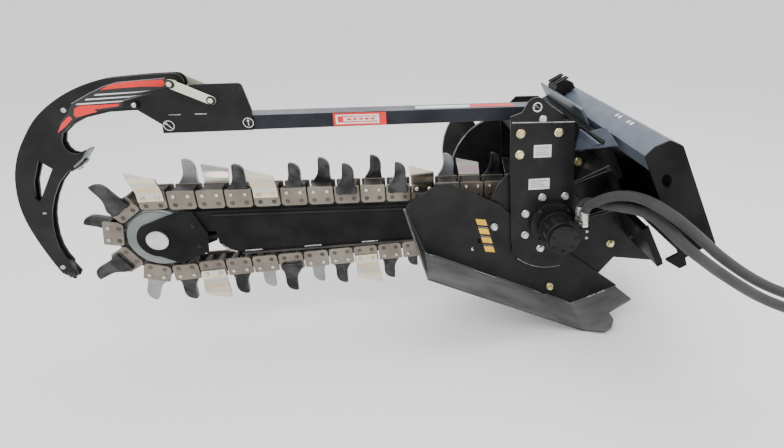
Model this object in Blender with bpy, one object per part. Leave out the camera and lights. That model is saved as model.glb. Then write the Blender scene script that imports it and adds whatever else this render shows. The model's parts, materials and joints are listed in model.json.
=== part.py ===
"""Chain trencher attachment for a compact loader: the design model.

Row frame, metres: +X runs from the digging nose towards the loader, +Y away from the
operator's side, +Z up. The origin is the centre of the loader plate's rear face.
Outlines are (x, z) points in the plane of the boom, extruded along Y. Pieces of the
loader mount are drawn upright in (depth, height) and tilted together by one empty.
"""
import math

import bmesh
import bpy
from mathutils import Matrix, Vector
from mathutils.geometry import tessellate_polygon

GAP = 0.0003                    # clearance between faces that touch
CLEAR = 0.0015                  # clearance between pieces that move past each other

# Digging chain
PITCH = 0.0418
SPROCKET_TEETH = 12
CHAIN_PINS = 76
CHAIN_Y = 0.060
IDLER_RADIUS = 0.114            # pitch radius of the nose wheel
SPROCKET_RADIUS = PITCH / (2.0 * math.sin(math.pi / SPROCKET_TEETH))
HEAD = (-0.281, -0.2365)        # head shaft axis
CORE_HALF = 0.012               # half height of the chain's inner links
CORE_WIDTH = 0.0315             # half width of the inner links
PIN_HALF = 0.0330               # half length of a pin
LINK_WIDTH = 0.040              # half width over the outer side plates
STUB_START = 0.0195             # inner end of the pins that pass over the sprocket
LINK_LENGTH = 0.080
LINK_BELOW = 0.011              # outer plate reach inside the pin line
LINK_ABOVE = 0.045              # outer plate reach outside the pin line
PIN_RADIUS = 0.008

# Near and far planes of the head frame
NEAR_PLATE = (-0.046, -0.036)
FAR_PLATE = (0.150, 0.160)
SKID_PLATE = (-0.057, -0.049)
HEAD_PLATE = (-0.072, -0.060)

# Crumber
BAR_Y = (0.0225, 0.0975)
BAR_Z = (0.1055, 0.1495)
BAR_PIVOT = (-0.330, 0.1275)
HOOK_PIVOT = (-1.514, 0.193)
LINK_FRONT = (-1.410, 0.248)
LINK_REAR = (-1.312, 0.199)
HOOK_HALF = 0.0165              # half thickness of the hooked shoe
HOOK_SHEET = 0.008

# Skid shoe
SKID_PIVOT = (-0.277, -0.501)
SKID_LOCK = (-0.485, -0.241)
FOOT_WIDTH = 0.120

# Spoil auger
AUGER_AXIS = (-0.390, -0.163)
AUGER_RADIUS = 0.222
AUGER_TUBE = 0.045
AUGER_PITCH = 0.36
AUGER_START_Y = 0.200
AUGER_START_ANGLE = 200.0
AUGER_TURN = 440.0

# Loader mount, in (depth along the plate's normal, height up the plate)
MOUNT_TILT = 27.1               # degrees
MOUNT_WIDTH = 0.960
PLATE_HALF = 0.1625
PLATE_THICK = 0.010

PAINT = ("black_paint", (0.012, 0.012, 0.014), 0.32, 0.0)
BLUE_PAINT = ("blue_black_paint", (0.05, 0.06, 0.085), 0.35, 0.1)
STEEL = ("link_steel", (0.16, 0.13, 0.11), 0.45, 0.8)
TOOTH = ("tooth_steel", (0.10, 0.10, 0.10), 0.40, 0.8)
ZINC = ("zinc", (0.62, 0.62, 0.60), 0.30, 0.9)
YELLOW_ZINC = ("yellow_zinc", (0.70, 0.58, 0.25), 0.35, 0.9)
LINK_ZINC = ("strap_zinc", (0.62, 0.64, 0.50), 0.40, 0.7)
RUBBER = ("hose_rubber", (0.02, 0.02, 0.02), 0.75, 0.0)


def clear_scene():
    """Remove whatever the file holds before the model is made."""
    for item in list(bpy.data.objects):
        bpy.data.objects.remove(item, do_unlink=True)


def material(spec):
    """One Principled material per (name, colour, roughness, metallic)."""
    name, colour, roughness, metallic = spec
    mat = bpy.data.materials.get(name)
    if mat is None:
        mat = bpy.data.materials.new(name)
        mat.use_nodes = True
        shader = mat.node_tree.nodes["Principled BSDF"]
        shader.inputs["Base Color"].default_value = (*colour, 1.0)
        shader.inputs["Roughness"].default_value = roughness
        shader.inputs["Metallic"].default_value = metallic
    return mat


def add_mesh(name, bm, spec, parent=None, cutter=False):
    """Turn a bmesh into a named object with its material."""
    bmesh.ops.remove_doubles(bm, verts=bm.verts, dist=1e-6)
    bmesh.ops.recalc_face_normals(bm, faces=bm.faces)
    mesh = bpy.data.meshes.new(name)
    bm.to_mesh(mesh)
    bm.free()
    mesh.materials.append(material(spec))
    obj = bpy.data.objects.new(name, mesh)
    bpy.context.collection.objects.link(obj)
    if parent is not None:
        obj.parent = parent
    if cutter:
        obj.hide_render = True
        obj.display_type = "WIRE"
    return obj


def arc(centre, radius, start, end, steps):
    """Points on an arc, angles in degrees, both ends included."""
    points = []
    for i in range(steps + 1):
        angle = math.radians(start + (end - start) * i / steps)
        points.append((centre[0] + radius * math.cos(angle),
                       centre[1] + radius * math.sin(angle)))
    return points


def circle(centre, radius, steps=20):
    """A closed round outline."""
    return arc(centre, radius, 0.0, 360.0, steps)[:-1]


def rounded(corners, steps=3):
    """Outline whose corners (x, z, radius) are filleted."""
    points = []
    count = len(corners)
    for i, (x, z, radius) in enumerate(corners):
        here = Vector((x, z))
        if radius <= 0.0:
            points.append((x, z))
            continue
        back = (Vector(corners[i - 1][:2]) - here).normalized()
        ahead = (Vector(corners[(i + 1) % count][:2]) - here).normalized()
        half = back.angle(ahead) / 2.0
        centre = here + (back + ahead).normalized() * (radius / math.sin(half))
        first = here + back * (radius / math.tan(half)) - centre
        last = here + ahead * (radius / math.tan(half)) - centre
        turn = first.angle_signed(last)
        for k in range(steps + 1):
            spoke = first.copy()
            spoke.rotate(Matrix.Rotation(-turn * k / steps, 2))
            points.append(tuple(centre + spoke))
    return points


def capsule(start, end, radius, steps=8):
    """Outline of a bar with round ends."""
    angle = math.degrees(math.atan2(end[1] - start[1], end[0] - start[0]))
    return (arc(end, radius, angle - 90.0, angle + 90.0, steps)
            + arc(start, radius, angle + 90.0, angle + 270.0, steps))


def prism(name, outline, y_low, y_high, spec, holes=(), parent=None, cutter=False):
    """A plate: an outline with holes, extruded from y_low to y_high."""
    loops = [list(outline)] + [list(hole) for hole in holes]
    flat = [point for loop in loops for point in loop]
    faces = tessellate_polygon([[Vector((x, z, 0.0)) for x, z in loop] for loop in loops])
    bm = bmesh.new()
    low = [bm.verts.new((x, y_low, z)) for x, z in flat]
    high = [bm.verts.new((x, y_high, z)) for x, z in flat]
    for a, b, c in faces:
        bm.faces.new((low[a], low[b], low[c]))
        bm.faces.new((high[c], high[b], high[a]))
    first = 0
    for loop in loops:
        for i in range(len(loop)):
            j = (i + 1) % len(loop)
            bm.faces.new((low[first + i], low[first + j], high[first + j], high[first + i]))
        first += len(loop)
    return add_mesh(name, bm, spec, parent, cutter)


def box(name, x_range, y_range, z_range, spec, parent=None, cutter=False):
    """A block with its faces along the axes."""
    (x0, x1), (z0, z1) = x_range, z_range
    outline = [(x0, z0), (x1, z0), (x1, z1), (x0, z1)]
    return prism(name, outline, *y_range, spec, parent=parent, cutter=cutter)


def turned(name, profile, centre, spec, steps=24, cutter=False):
    """A piece turned about an axis along Y; the profile is (radius, y) points."""
    bm = bmesh.new()
    rings = []
    for radius, y in profile:
        if radius < 1e-6:
            rings.append([bm.verts.new((centre[0], y, centre[1]))] * steps)
            continue
        ring = [bm.verts.new((x, y, z)) for x, z in circle(centre, radius, steps)]
        rings.append(ring)
    closed = profile[0][0] > 1e-6 or profile[-1][0] > 1e-6
    last = len(rings) if closed else len(rings) - 1
    for i in range(last):
        a, b = rings[i], rings[(i + 1) % len(rings)]
        for k in range(steps):
            m = (k + 1) % steps
            corners = []
            for vert in (a[k], a[m], b[m], b[k]):
                if vert not in corners:
                    corners.append(vert)
            bm.faces.new(corners)
    obj = add_mesh(name, bm, spec, cutter=cutter)
    obj.data.shade_smooth()
    obj.data.set_sharp_from_angle(angle=math.radians(35.0))
    return obj


def join_solids(base, pieces, name="join", operation="UNION"):
    """Boolean of one object with a hidden collection of helper solids."""
    group = bpy.data.collections.new(base.name + "_" + name)
    bpy.context.scene.collection.children.link(group)
    for piece in pieces:
        bpy.context.collection.objects.unlink(piece)
        group.objects.link(piece)
    mod = base.modifiers.new(name, "BOOLEAN")
    mod.operation = operation
    mod.operand_type = "COLLECTION"
    mod.collection = group
    mod.solver = "EXACT"
    return base


# ---------------------------------------------------------------- digging chain

def loop_point(s, centre_distance):
    """Point and outward normal at length s along the chain's pitch line.

    The line starts at the head sprocket's upper tangent point and runs down round the
    head, forward along the lower run, round the nose and back along the upper run."""
    lean = math.asin((IDLER_RADIUS - SPROCKET_RADIUS) / centre_distance)
    straight = centre_distance * math.cos(lean)
    head_arc = SPROCKET_RADIUS * (math.pi - 2.0 * lean)
    nose_arc = IDLER_RADIUS * (math.pi + 2.0 * lean)
    total = head_arc + nose_arc + 2.0 * straight
    s %= total
    nose = (HEAD[0] - centre_distance, HEAD[1])
    upper, lower = math.pi / 2.0 - lean, -math.pi / 2.0 + lean
    if s < head_arc:
        angle = upper - s / SPROCKET_RADIUS
        return ring_point(HEAD, SPROCKET_RADIUS, angle)
    s -= head_arc
    if s < straight:
        start, normal = ring_point(HEAD, SPROCKET_RADIUS, lower)
        return (start[0] + normal[1] * s, start[1] - normal[0] * s), normal
    s -= straight
    if s < nose_arc:
        angle = lower - s / IDLER_RADIUS
        return ring_point(nose, IDLER_RADIUS, angle)
    s -= nose_arc
    start, normal = ring_point(nose, IDLER_RADIUS, upper)
    return (start[0] + normal[1] * s, start[1] - normal[0] * s), normal


def ring_point(centre, radius, angle):
    """Point on a circle and its outward normal."""
    normal = (math.cos(angle), math.sin(angle))
    return (centre[0] + radius * normal[0], centre[1] + radius * normal[1]), normal


def walk_pins(centre_distance):
    """Lengths along the pitch line of every pin, and the last pin's closing error."""
    lengths = [0.0]
    for _ in range(CHAIN_PINS):
        here = loop_point(lengths[-1], centre_distance)[0]
        step = PITCH
        for _ in range(6):
            there = loop_point(lengths[-1] + step, centre_distance)[0]
            step += PITCH - math.dist(here, there)
        lengths.append(lengths[-1] + step)
    lean = math.asin((IDLER_RADIUS - SPROCKET_RADIUS) / centre_distance)
    total = (SPROCKET_RADIUS * (math.pi - 2.0 * lean) + IDLER_RADIUS * (math.pi + 2.0 * lean)
             + 2.0 * centre_distance * math.cos(lean))
    return lengths[:-1], lengths[-1] - total


def fitted_centre_distance():
    """Shaft distance at which the chain closes on itself."""
    low, high = 1.26, 1.32
    for _ in range(40):
        middle = (low + high) / 2.0
        if walk_pins(middle)[1] > 0.0:
            low = middle
        else:
            high = middle
    return (low + high) / 2.0


CENTRE_DISTANCE = fitted_centre_distance()
NOSE = (HEAD[0] - CENTRE_DISTANCE, HEAD[1])


def local_outline(points, origin, tangent, normal):
    """Points given along a link's tangent and normal, placed in the plane."""
    return [(origin[0] + u * tangent[0] + v * normal[0],
             origin[1] + u * tangent[1] + v * normal[1]) for u, v in points]


def link_frames():
    """Middle point, travel direction and outward normal of each outer link."""
    lengths, _ = walk_pins(CENTRE_DISTANCE)
    frames = []
    for i in range(1, CHAIN_PINS, 2):
        first, last = (loop_point(lengths[k % CHAIN_PINS], CENTRE_DISTANCE)[0]
                       for k in (i, i + 1))
        tangent = ((last[0] - first[0]) / PITCH, (last[1] - first[1]) / PITCH)
        normal = (-tangent[1], tangent[0])
        middle = ((first[0] + last[0]) / 2.0, (first[1] + last[1]) / 2.0)
        frames.append((middle, tangent, normal))
    return frames


# Cutters by outer link: their place across the chain, and whether they are folded cups
TOOTH_PLACES = {
    "near": (-0.052, -0.037),
    "inner_near": (-0.036, -0.016),
    "middle": (-0.008, 0.008),
    "inner_far": (0.016, 0.036),
    "far": (0.036, 0.052),
}
CUP_NEAR_LINKS = (4, 10, 16, 22, 26, 32)
CUP_FAR_LINKS = (7, 24, 34, 36)
SHARK_PLACES = {
    "near": (0, 2, 13, 19, 21, 29, 31),
    "inner_near": (5, 9, 11, 15, 17, 18, 25, 27, 37),
    "middle": (3, 12, 14),
    "inner_far": (1, 6, 20, 28),
    "far": (8, 23, 30, 33, 35),
}


def shark_outline(foot):
    """Side outline of a curved tooth, u along the chain's travel and v outwards."""
    return [(-0.031, foot), (-0.028, 0.040), (-0.015, 0.064), (-0.008, 0.090), (-0.004, 0.125),
            (0.014, 0.121), (0.026, 0.108), (0.028, 0.085), (0.027, 0.058), (0.029, foot)]


def shark_tooth(name, index, place):
    """One curved tooth on an outer link."""
    low, high = TOOTH_PLACES[place]
    foot = 0.008 if place == "middle" else 0.030
    outline = local_outline(shark_outline(foot), *FRAMES[index])
    return prism(name, outline, CHAIN_Y + low, CHAIN_Y + high, TOOTH, cutter=True)


def cup_tooth(name, index, side):
    """One folded cup: a base on the side plate and a lip that leans outwards."""
    middle, tangent, normal = FRAMES[index]
    rings = []
    for u_foot, u_lip, top in ((-0.036, -0.046, 0.118), (0.037, 0.036, 0.094)):
        section = [(0.036, 0.028, u_foot), (0.047, 0.028, u_foot), (0.047, 0.060, u_foot),
                   (0.063, top, u_lip), (0.055, top, u_lip), (0.036, 0.062, u_foot)]
        rings.append([])
        for across, v, u in section:
            x, z = local_outline([(u, v)], middle, tangent, normal)[0]
            rings[-1].append(Vector((x, CHAIN_Y + side * across, z)))
    bm = bmesh.new()
    first, last = ([bm.verts.new(point) for point in ring] for ring in rings)
    for ring in (first, last):
        bm.faces.new((ring[0], ring[1], ring[2], ring[5]))
        bm.faces.new((ring[5], ring[2], ring[3], ring[4]))
    for i in range(6):
        j = (i + 1) % 6
        bm.faces.new((first[i], first[j], last[j], last[i]))
    return add_mesh(name, bm, TOOTH, cutter=True)


def tooth(name, index):
    """The cutter that one outer link carries."""
    if index in CUP_NEAR_LINKS:
        return cup_tooth(name, index, -1.0)
    if index in CUP_FAR_LINKS:
        return cup_tooth(name, index, 1.0)
    place = next(key for key, links in SHARK_PLACES.items() if index in links)
    return shark_tooth(name, index, place)


def chain_pieces(section, indices, inside):
    """Side plates from the given half width outwards, and the cutter, of each outer link."""
    half = LINK_LENGTH / 2.0
    plate = [(-0.034, -LINK_BELOW), (0.034, -LINK_BELOW), (half, 0.004), (half, LINK_ABOVE - 0.004),
             (half - 0.004, LINK_ABOVE), (0.004 - half, LINK_ABOVE), (-half, LINK_ABOVE - 0.004),
             (-half, 0.004)]
    pieces = []
    for index in indices:
        name = "%s_link_%02d" % (section, index)
        outline = local_outline(plate, *FRAMES[index])
        for side, y_range in enumerate(side_pair(inside, LINK_WIDTH - inside)):
            pieces.append(prism("%s_%d" % (name, side), outline, *y_range, STEEL, cutter=True))
        pieces.append(tooth(name + "_tooth", index))
    return pieces


def chain_core(name, start, end, steps):
    """Inner links of a section as one bar along the pitch line."""
    outer, inner = [], []
    for k in range(steps + 1):
        point, normal = loop_point(start + (end - start) * k / steps, CENTRE_DISTANCE)
        outer.append((point[0] + normal[0] * CORE_HALF, point[1] + normal[1] * CORE_HALF))
        inner.append((point[0] - normal[0] * CORE_HALF, point[1] - normal[1] * CORE_HALF))
    return prism(name, outer + inner[::-1], CHAIN_Y - CORE_WIDTH, CHAIN_Y + CORE_WIDTH, STEEL)


def stub_pins(section, indices):
    """Pins near the sprocket, left open in the middle where its teeth pass."""
    stubs = []
    for index in indices:
        outline = circle(loop_point(PIN_LENGTHS[index], CENTRE_DISTANCE)[0], PIN_RADIUS, 10)
        for side, y_range in enumerate(side_pair(STUB_START, PIN_HALF - STUB_START)):
            stubs.append(prism("%s_pin_%d_%d" % (section, index, side), outline, *y_range, STEEL,
                               cutter=True))
    return stubs


PIN_LENGTHS = walk_pins(CENTRE_DISTANCE)[0]
FRAMES = link_frames()


def build_chain():
    """Lower run, nose wrap, upper run and head wrap, each one connected body."""
    nose = [i for i, frame in enumerate(FRAMES) if frame[0][0] < NOSE[0] + 0.10]
    lower = range(3, nose[0])
    upper = range(nose[-1] + 1, len(FRAMES))
    start = PIN_LENGTHS[7] + 0.012
    for name, indices, steps in (("chain_lower_run", lower, 1), ("chain_nose_wrap", nose, 26),
                                 ("chain_upper_run", upper, 1)):
        end = PIN_LENGTHS[-1] - 0.014
        if name != "chain_upper_run":
            after = 2 * indices[-1] + 2
            end = (PIN_LENGTHS[after] + PIN_LENGTHS[after + 1]) / 2.0
        core = chain_core(name, start, end, steps)
        pieces = chain_pieces(name, indices, CORE_WIDTH - 0.0005)
        ends = {"chain_lower_run": (7,), "chain_upper_run": (75, 0)}
        pieces += stub_pins(name, ends.get(name, ()))
        join_solids(core, pieces)
        start = end + GAP
    build_head_wrap()


def build_head_wrap():
    """The links in mesh with the head sprocket, open between their plates."""
    name = "chain_head_wrap"
    pins = [loop_point(PIN_LENGTHS[i], CENTRE_DISTANCE)[0] for i in range(8)]
    pieces = chain_pieces(name, range(3), CORE_WIDTH + GAP) + stub_pins(name, range(1, 7))
    for index in range(3):
        bridge = local_outline([(-0.012, 0.035), (0.012, 0.035), (0.012, 0.042), (-0.012, 0.042)],
                               *FRAMES[index])
        pieces.append(prism("head_bridge_%d" % index, bridge, CHAIN_Y - 0.036, CHAIN_Y + 0.036,
                            STEEL, cutter=True))
    for i in range(1, 7):
        near = Vector(pins[i])
        far = Vector(pins[i - 1 if i % 2 else i + 1])
        if i in (1, 6):
            far = near.lerp(far, 0.40)
        outline = capsule(near, far, 0.0115, 6)
        for side, y_range in enumerate(side_pair(0.022, 0.0085)):
            pieces.append(prism("head_inner_%d_%d" % (i, side), outline, *y_range, STEEL,
                                cutter=True))
    join_solids(pieces[0], pieces[1:])
    pieces[0].name = name
    pieces[0].hide_render = False
    pieces[0].display_type = "TEXTURED"


def side_pair(inner, thick):
    """Y ranges of two plates mirrored about the chain's middle plane."""
    return ((CHAIN_Y - inner - thick, CHAIN_Y - inner), (CHAIN_Y + inner, CHAIN_Y + inner + thick))


def sprocket_outline():
    """Twelve teeth with round gaps that clear the chain's pins."""
    points = []
    step = 360.0 / SPROCKET_TEETH
    first = 90.0 - math.degrees(math.asin((IDLER_RADIUS - SPROCKET_RADIUS) / CENTRE_DISTANCE))
    for i in range(SPROCKET_TEETH):
        gap_angle = first - step * i
        for turn, radius in ((8.5, 0.0795), (4.0, 0.0715), (-4.0, 0.0715), (-8.5, 0.0795),
                             (-12.5, 0.0870), (-17.5, 0.0870)):
            angle = math.radians(gap_angle + turn)
            points.append((HEAD[0] + radius * math.cos(angle), HEAD[1] + radius * math.sin(angle)))
    return points


def build_head_rotor():
    """Toothed sprocket and its shaft through the head frame."""
    bore = circle(HEAD, 0.025 + GAP, 24)
    prism("head_sprocket", sprocket_outline(), CHAIN_Y - 0.018, CHAIN_Y + 0.018, STEEL, [bore])
    turned("head_shaft", [(0.0, -0.0595), (0.025, -0.0595), (0.025, 0.196), (0.0, 0.196)], HEAD,
           STEEL, 24)


def build_boom():
    """Box beam with its neck, the tension screw and the seats in the head frame."""
    y_low, y_high = CHAIN_Y - 0.035, CHAIN_Y + 0.035
    beam = [(-1.354, -0.3065), (-0.400, -0.3045), (-0.400, -0.1860), (-1.395, -0.1530),
            (-1.465, -0.1530), (-1.465, -0.2250), (-1.395, -0.2250), (-1.395, -0.2700)]
    prism("boom_beam", beam, y_low, y_high, PAINT)
    turned("tension_screw", [(0.0, 0.0), (0.010, 0.0), (0.010, 0.045), (0.0, 0.045)], (0.0, 0.0),
           ZINC, 12)
    screw = bpy.data.objects["tension_screw"]
    screw.rotation_euler = (0.0, 0.0, math.radians(90.0))
    screw.location = (-1.3957, CHAIN_Y, -0.255)
    for side, y_range in (("near", (NEAR_PLATE[1] + GAP, y_low - GAP)),
                          ("far", (y_high + GAP, FAR_PLATE[0] - GAP))):
        box("boom_seat_" + side, (-0.475, -0.405), y_range, (-0.292, -0.190), PAINT)


def build_nose():
    """Yoke plates, axle and wheel that carry the chain round the boom's nose."""
    x, z = NOSE
    yoke = (arc(NOSE, 0.062, 130.0, 262.0, 12)
            + [(x + 0.045, -0.3265), (x + 0.137, -0.2935), (x + 0.148, -0.2255),
               (x + 0.118, -0.1480), (x + 0.082, -0.1430)])
    bore = circle(NOSE, 0.0125 + GAP, 16)
    for side, y_range in zip(("near", "far"), side_pair(0.0405, 0.007)):
        prism("nose_yoke_" + side, yoke, *y_range, PAINT, [bore])
    reach, cap = 0.0475 + GAP, 0.0085
    turned("nose_axle", [(0.0, CHAIN_Y - reach - cap), (0.0325, CHAIN_Y - reach - cap),
                         (0.0325, CHAIN_Y - reach), (0.0125, CHAIN_Y - reach),
                         (0.0125, CHAIN_Y + reach), (0.0325, CHAIN_Y + reach),
                         (0.0325, CHAIN_Y + reach + cap), (0.0, CHAIN_Y + reach + cap)], NOSE,
           ZINC, 24)
    turned("nose_wheel", [(0.0130, CHAIN_Y - 0.0395), (0.0130, CHAIN_Y + 0.0395),
                          (0.0920, CHAIN_Y + 0.0390), (0.0920, CHAIN_Y + 0.0340),
                          (0.1000, CHAIN_Y + 0.0300), (0.1000, CHAIN_Y - 0.0300),
                          (0.0920, CHAIN_Y - 0.0340), (0.0920, CHAIN_Y - 0.0390)], NOSE, STEEL, 32)


def mount_point(depth, height):
    """A point of the tilted loader mount as (x, z)."""
    tilt = math.radians(MOUNT_TILT)
    return (depth * math.cos(tilt) - height * math.sin(tilt),
            depth * math.sin(tilt) + height * math.cos(tilt))


def frame_outline():
    """Side plate of the head frame: round front, pivot lug below, heel at the back."""
    front = arc(HEAD, 0.235, 128.0, 196.0, 10)
    back = [mount_point(-0.1335, 0.165), mount_point(-0.1335, -0.305), mount_point(-0.045, -0.305),
            mount_point(-0.045, -0.479), mount_point(-0.211, -0.353)]
    lug = [(-0.120, -0.520)] + arc(SKID_PIVOT, 0.048, -60.0, -130.0, 5) + [(-0.470, -0.400)]
    ear = [(-0.425, 0.020), (-0.425, 0.105), (-0.372, 0.158), (-0.290, 0.158), (-0.240, 0.120)]
    return front[::-1] + ear + back + lug


def build_head_frame():
    """Side plates, head plate with the lifting eye, spacers and ties."""
    shaft = circle(HEAD, 0.026, 20)
    pivot = circle(BAR_PIVOT, 0.0125 + GAP, 16)
    skid = circle(SKID_PIVOT, 0.010 + GAP, 12)
    lock = circle(SKID_LOCK, 0.010 + GAP, 12)
    prism("side_plate_near", frame_outline(), *NEAR_PLATE, PAINT, [shaft, pivot, skid, lock])
    prism("side_plate_far", frame_outline(), *FAR_PLATE, PAINT, [shaft, pivot])
    head = ([(-0.435, 0.137), (-0.434, -0.031), (-0.428, -0.280)]
            + arc(HEAD, 0.178, 218.0, 283.0, 10) + [(-0.210, -0.351)]
            + arc(HEAD, 0.125, -52.0, 52.0, 8) + [(-0.212, -0.100), (-0.224, 0.118), (-0.262, 0.124)]
            + arc((-0.350, 0.160), 0.036, 30.0, 140.0, 8) + [(-0.398, 0.150)])
    prism("head_plate", head, *HEAD_PLATE, PAINT, [circle(HEAD, 0.060, 24),
                                                   circle((-0.350, 0.166), 0.011, 14)])
    spacer_y = (HEAD_PLATE[1] + GAP, NEAR_PLATE[0] - GAP)
    box("head_spacer", (-0.428, -0.235), spacer_y, (0.000, 0.095), PAINT)
    box("bar_rest", (-0.420, -0.385), (NEAR_PLATE[1] + GAP, FAR_PLATE[0] - GAP),
        (0.075, BAR_Z[0] - 2 * GAP), PAINT)
    tie = mount_point(-0.085, -0.420)
    turned("frame_tie", [(0.0, NEAR_PLATE[1] + GAP), (0.020, NEAR_PLATE[1] + GAP),
                         (0.020, FAR_PLATE[0] - GAP), (0.0, FAR_PLATE[0] - GAP)], tie, PAINT, 16)


def bolt(name, place, y_face, spec, radius=0.0125, head=0.011, shank=None, shank_radius=0.0):
    """Flanged bolt head on the near face, with an optional shank running to +Y."""
    profile = [(0.0, y_face - GAP - head), (radius * 0.8, y_face - GAP - head),
               (radius * 0.8, y_face - GAP - 0.003), (radius, y_face - GAP - 0.003),
               (radius, y_face - GAP)]
    if shank is None:
        profile.append((0.0, y_face - GAP))
    else:
        profile += [(shank_radius, y_face - GAP), (shank_radius, shank), (0.0, shank)]
    turned(name, profile, place, spec, 12)


def build_fasteners():
    """Bolts that can be seen from outside, and the pins of the moving pieces."""
    bolt("skid_pivot_bolt", SKID_PIVOT, SKID_PLATE[0] - CLEAR, YELLOW_ZINC,
         shank=NEAR_PLATE[1] + 0.01, shank_radius=0.010)
    bolt("skid_lock_bolt", SKID_LOCK, SKID_PLATE[0] - CLEAR, ZINC)
    turned("crumber_pin", [(0.0, NEAR_PLATE[0] - 0.008), (0.0125, NEAR_PLATE[0] - 0.008),
                           (0.0125, FAR_PLATE[1] + 0.012), (0.0, FAR_PLATE[1] + 0.012)],
           BAR_PIVOT, ZINC, 16)


def build_motor():
    """Hydraulic motor, its mounting ring, port block and two hose fittings."""
    face = HEAD_PLATE[0]
    turned("motor_ring", [(0.0, face - 0.025), (0.083, face - 0.025), (0.083, face - GAP),
                          (0.0, face - GAP)], HEAD, PAINT, 32)
    turned("motor_body", [(0.0, face - 0.144), (0.050, face - 0.144), (0.050, face - 0.128),
                          (0.056, face - 0.128), (0.056, face - 0.0253), (0.0, face - 0.0253)],
           HEAD, PAINT, 28)
    saddle = arc(HEAD, 0.056 + GAP, -18.0, 30.0, 6)
    block = saddle + [(-0.190, -0.2085), (-0.190, -0.2538)]
    prism("port_block", block, -0.195, -0.115, PAINT)
    for name, route in HOSES.items():
        x, y, z = route[0]
        turned("fitting_" + name, [(0.0, 0.0), (0.013, 0.0), (0.013, 0.022), (0.0, 0.022)],
               (0.0, 0.0), ZINC, 12)
        fitting = bpy.data.objects["fitting_" + name]
        fitting.rotation_euler = (math.radians(90.0), 0.0, 0.0)
        fitting.location = (x, y, z - 0.0233)


# Hose routes from the fittings to the loader's couplers
HOSE_DIAMETER = 0.030
HOSES = {
    "a": [(-0.205, -0.176, -0.1848), (-0.205, -0.176, -0.160), (-0.203, -0.196, -0.130),
          (-0.196, -0.228, -0.104), (-0.186, -0.275, -0.073), (-0.174, -0.340, -0.039),
          (-0.161, -0.420, -0.011), (-0.146, -0.495, 0.000), (-0.110, -0.545, -0.018),
          (-0.061, -0.560, -0.056), (-0.014, -0.562, -0.096), (0.041, -0.560, -0.142),
          (0.122, -0.560, -0.200), (0.194, -0.560, -0.243), (0.262, -0.560, -0.276),
          (0.335, -0.560, -0.306)],
    "b": [(-0.205, -0.134, -0.1848), (-0.205, -0.134, -0.160), (-0.192, -0.146, -0.136),
          (-0.172, -0.184, -0.124), (-0.160, -0.240, -0.110), (-0.152, -0.320, -0.084),
          (-0.142, -0.410, -0.056), (-0.134, -0.495, -0.042), (-0.110, -0.548, -0.062),
          (-0.076, -0.577, -0.094), (-0.030, -0.588, -0.130), (0.024, -0.590, -0.170),
          (0.108, -0.592, -0.227), (0.178, -0.594, -0.268), (0.244, -0.600, -0.298),
          (0.310, -0.607, -0.326)],
}


def smooth_route(points, spacing):
    """Evenly spaced points on a Catmull-Rom curve through the route."""
    knots = [Vector(p) for p in points]
    knots = [knots[0] * 2 - knots[1]] + knots + [knots[-1] * 2 - knots[-2]]
    fine = []
    for a, b, c, d in zip(knots, knots[1:], knots[2:], knots[3:]):
        for k in range(20):
            t = k / 20.0
            fine.append(0.5 * ((2 * b) + (c - a) * t + (2 * a - 5 * b + 4 * c - d) * t ** 2
                               + (3 * b - a - 3 * c + d) * t ** 3))
    fine.append(knots[-2])
    total = sum((q - p).length for p, q in zip(fine, fine[1:]))
    count = round(total / spacing)
    result, run, index = [fine[0]], 0.0, 1
    for p, q in zip(fine, fine[1:]):
        step = (q - p).length
        while index < count and run + step >= total * index / count:
            result.append(p.lerp(q, (total * index / count - run) / step))
            index += 1
        run += step
    return result + [fine[-1]]


def build_hoses():
    """Two sleeved hoses as plain tubes, each ending in a quick coupler."""
    for name, route in HOSES.items():
        points = smooth_route(route, HOSE_DIAMETER)
        curve = bpy.data.curves.new("hose_" + name, "CURVE")
        curve.dimensions = "3D"
        curve.bevel_depth = HOSE_DIAMETER / 2.0
        curve.bevel_resolution = 2
        curve.use_fill_caps = True
        spline = curve.splines.new("POLY")
        spline.points.add(len(points) - 1)
        for knot, point in zip(spline.points, points):
            knot.co = (*point, 1.0)
        curve.materials.append(material(RUBBER))
        obj = bpy.data.objects.new("hose_" + name, curve)
        bpy.context.collection.objects.link(obj)
        ahead = (points[-1] - points[-2]).normalized()
        coupler = turned("coupler_" + name, [(0.0, GAP), (0.016, GAP), (0.016, 0.030),
                                             (0.021, 0.032), (0.021, 0.075), (0.0, 0.075)],
                         (0.0, 0.0), ZINC, 16)
        coupler.rotation_mode = "QUATERNION"
        coupler.rotation_quaternion = ahead.to_track_quat("Y", "Z")
        coupler.location = points[-1]


def build_auger():
    """Spoil auger on its own shaft, driven through an enclosed chain case."""
    case = capsule(HEAD, AUGER_AXIS, 0.062, 10)
    low, high = FAR_PLATE[1] + GAP, FAR_PLATE[1] + 0.034
    prism("auger_drive_case", case, low, high, PAINT, [circle(HEAD, 0.0265, 20),
                                                      circle(AUGER_AXIS, 0.0215, 20)])
    tube = turned("auger", [(0.0, low + 0.004), (0.020, low + 0.004), (0.020, high + 0.003),
                            (AUGER_TUBE, high + 0.003), (AUGER_TUBE, 0.655), (0.0, 0.655)],
                  AUGER_AXIS, PAINT, 20)
    join_solids(tube, [auger_flight()], "flight")


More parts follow.
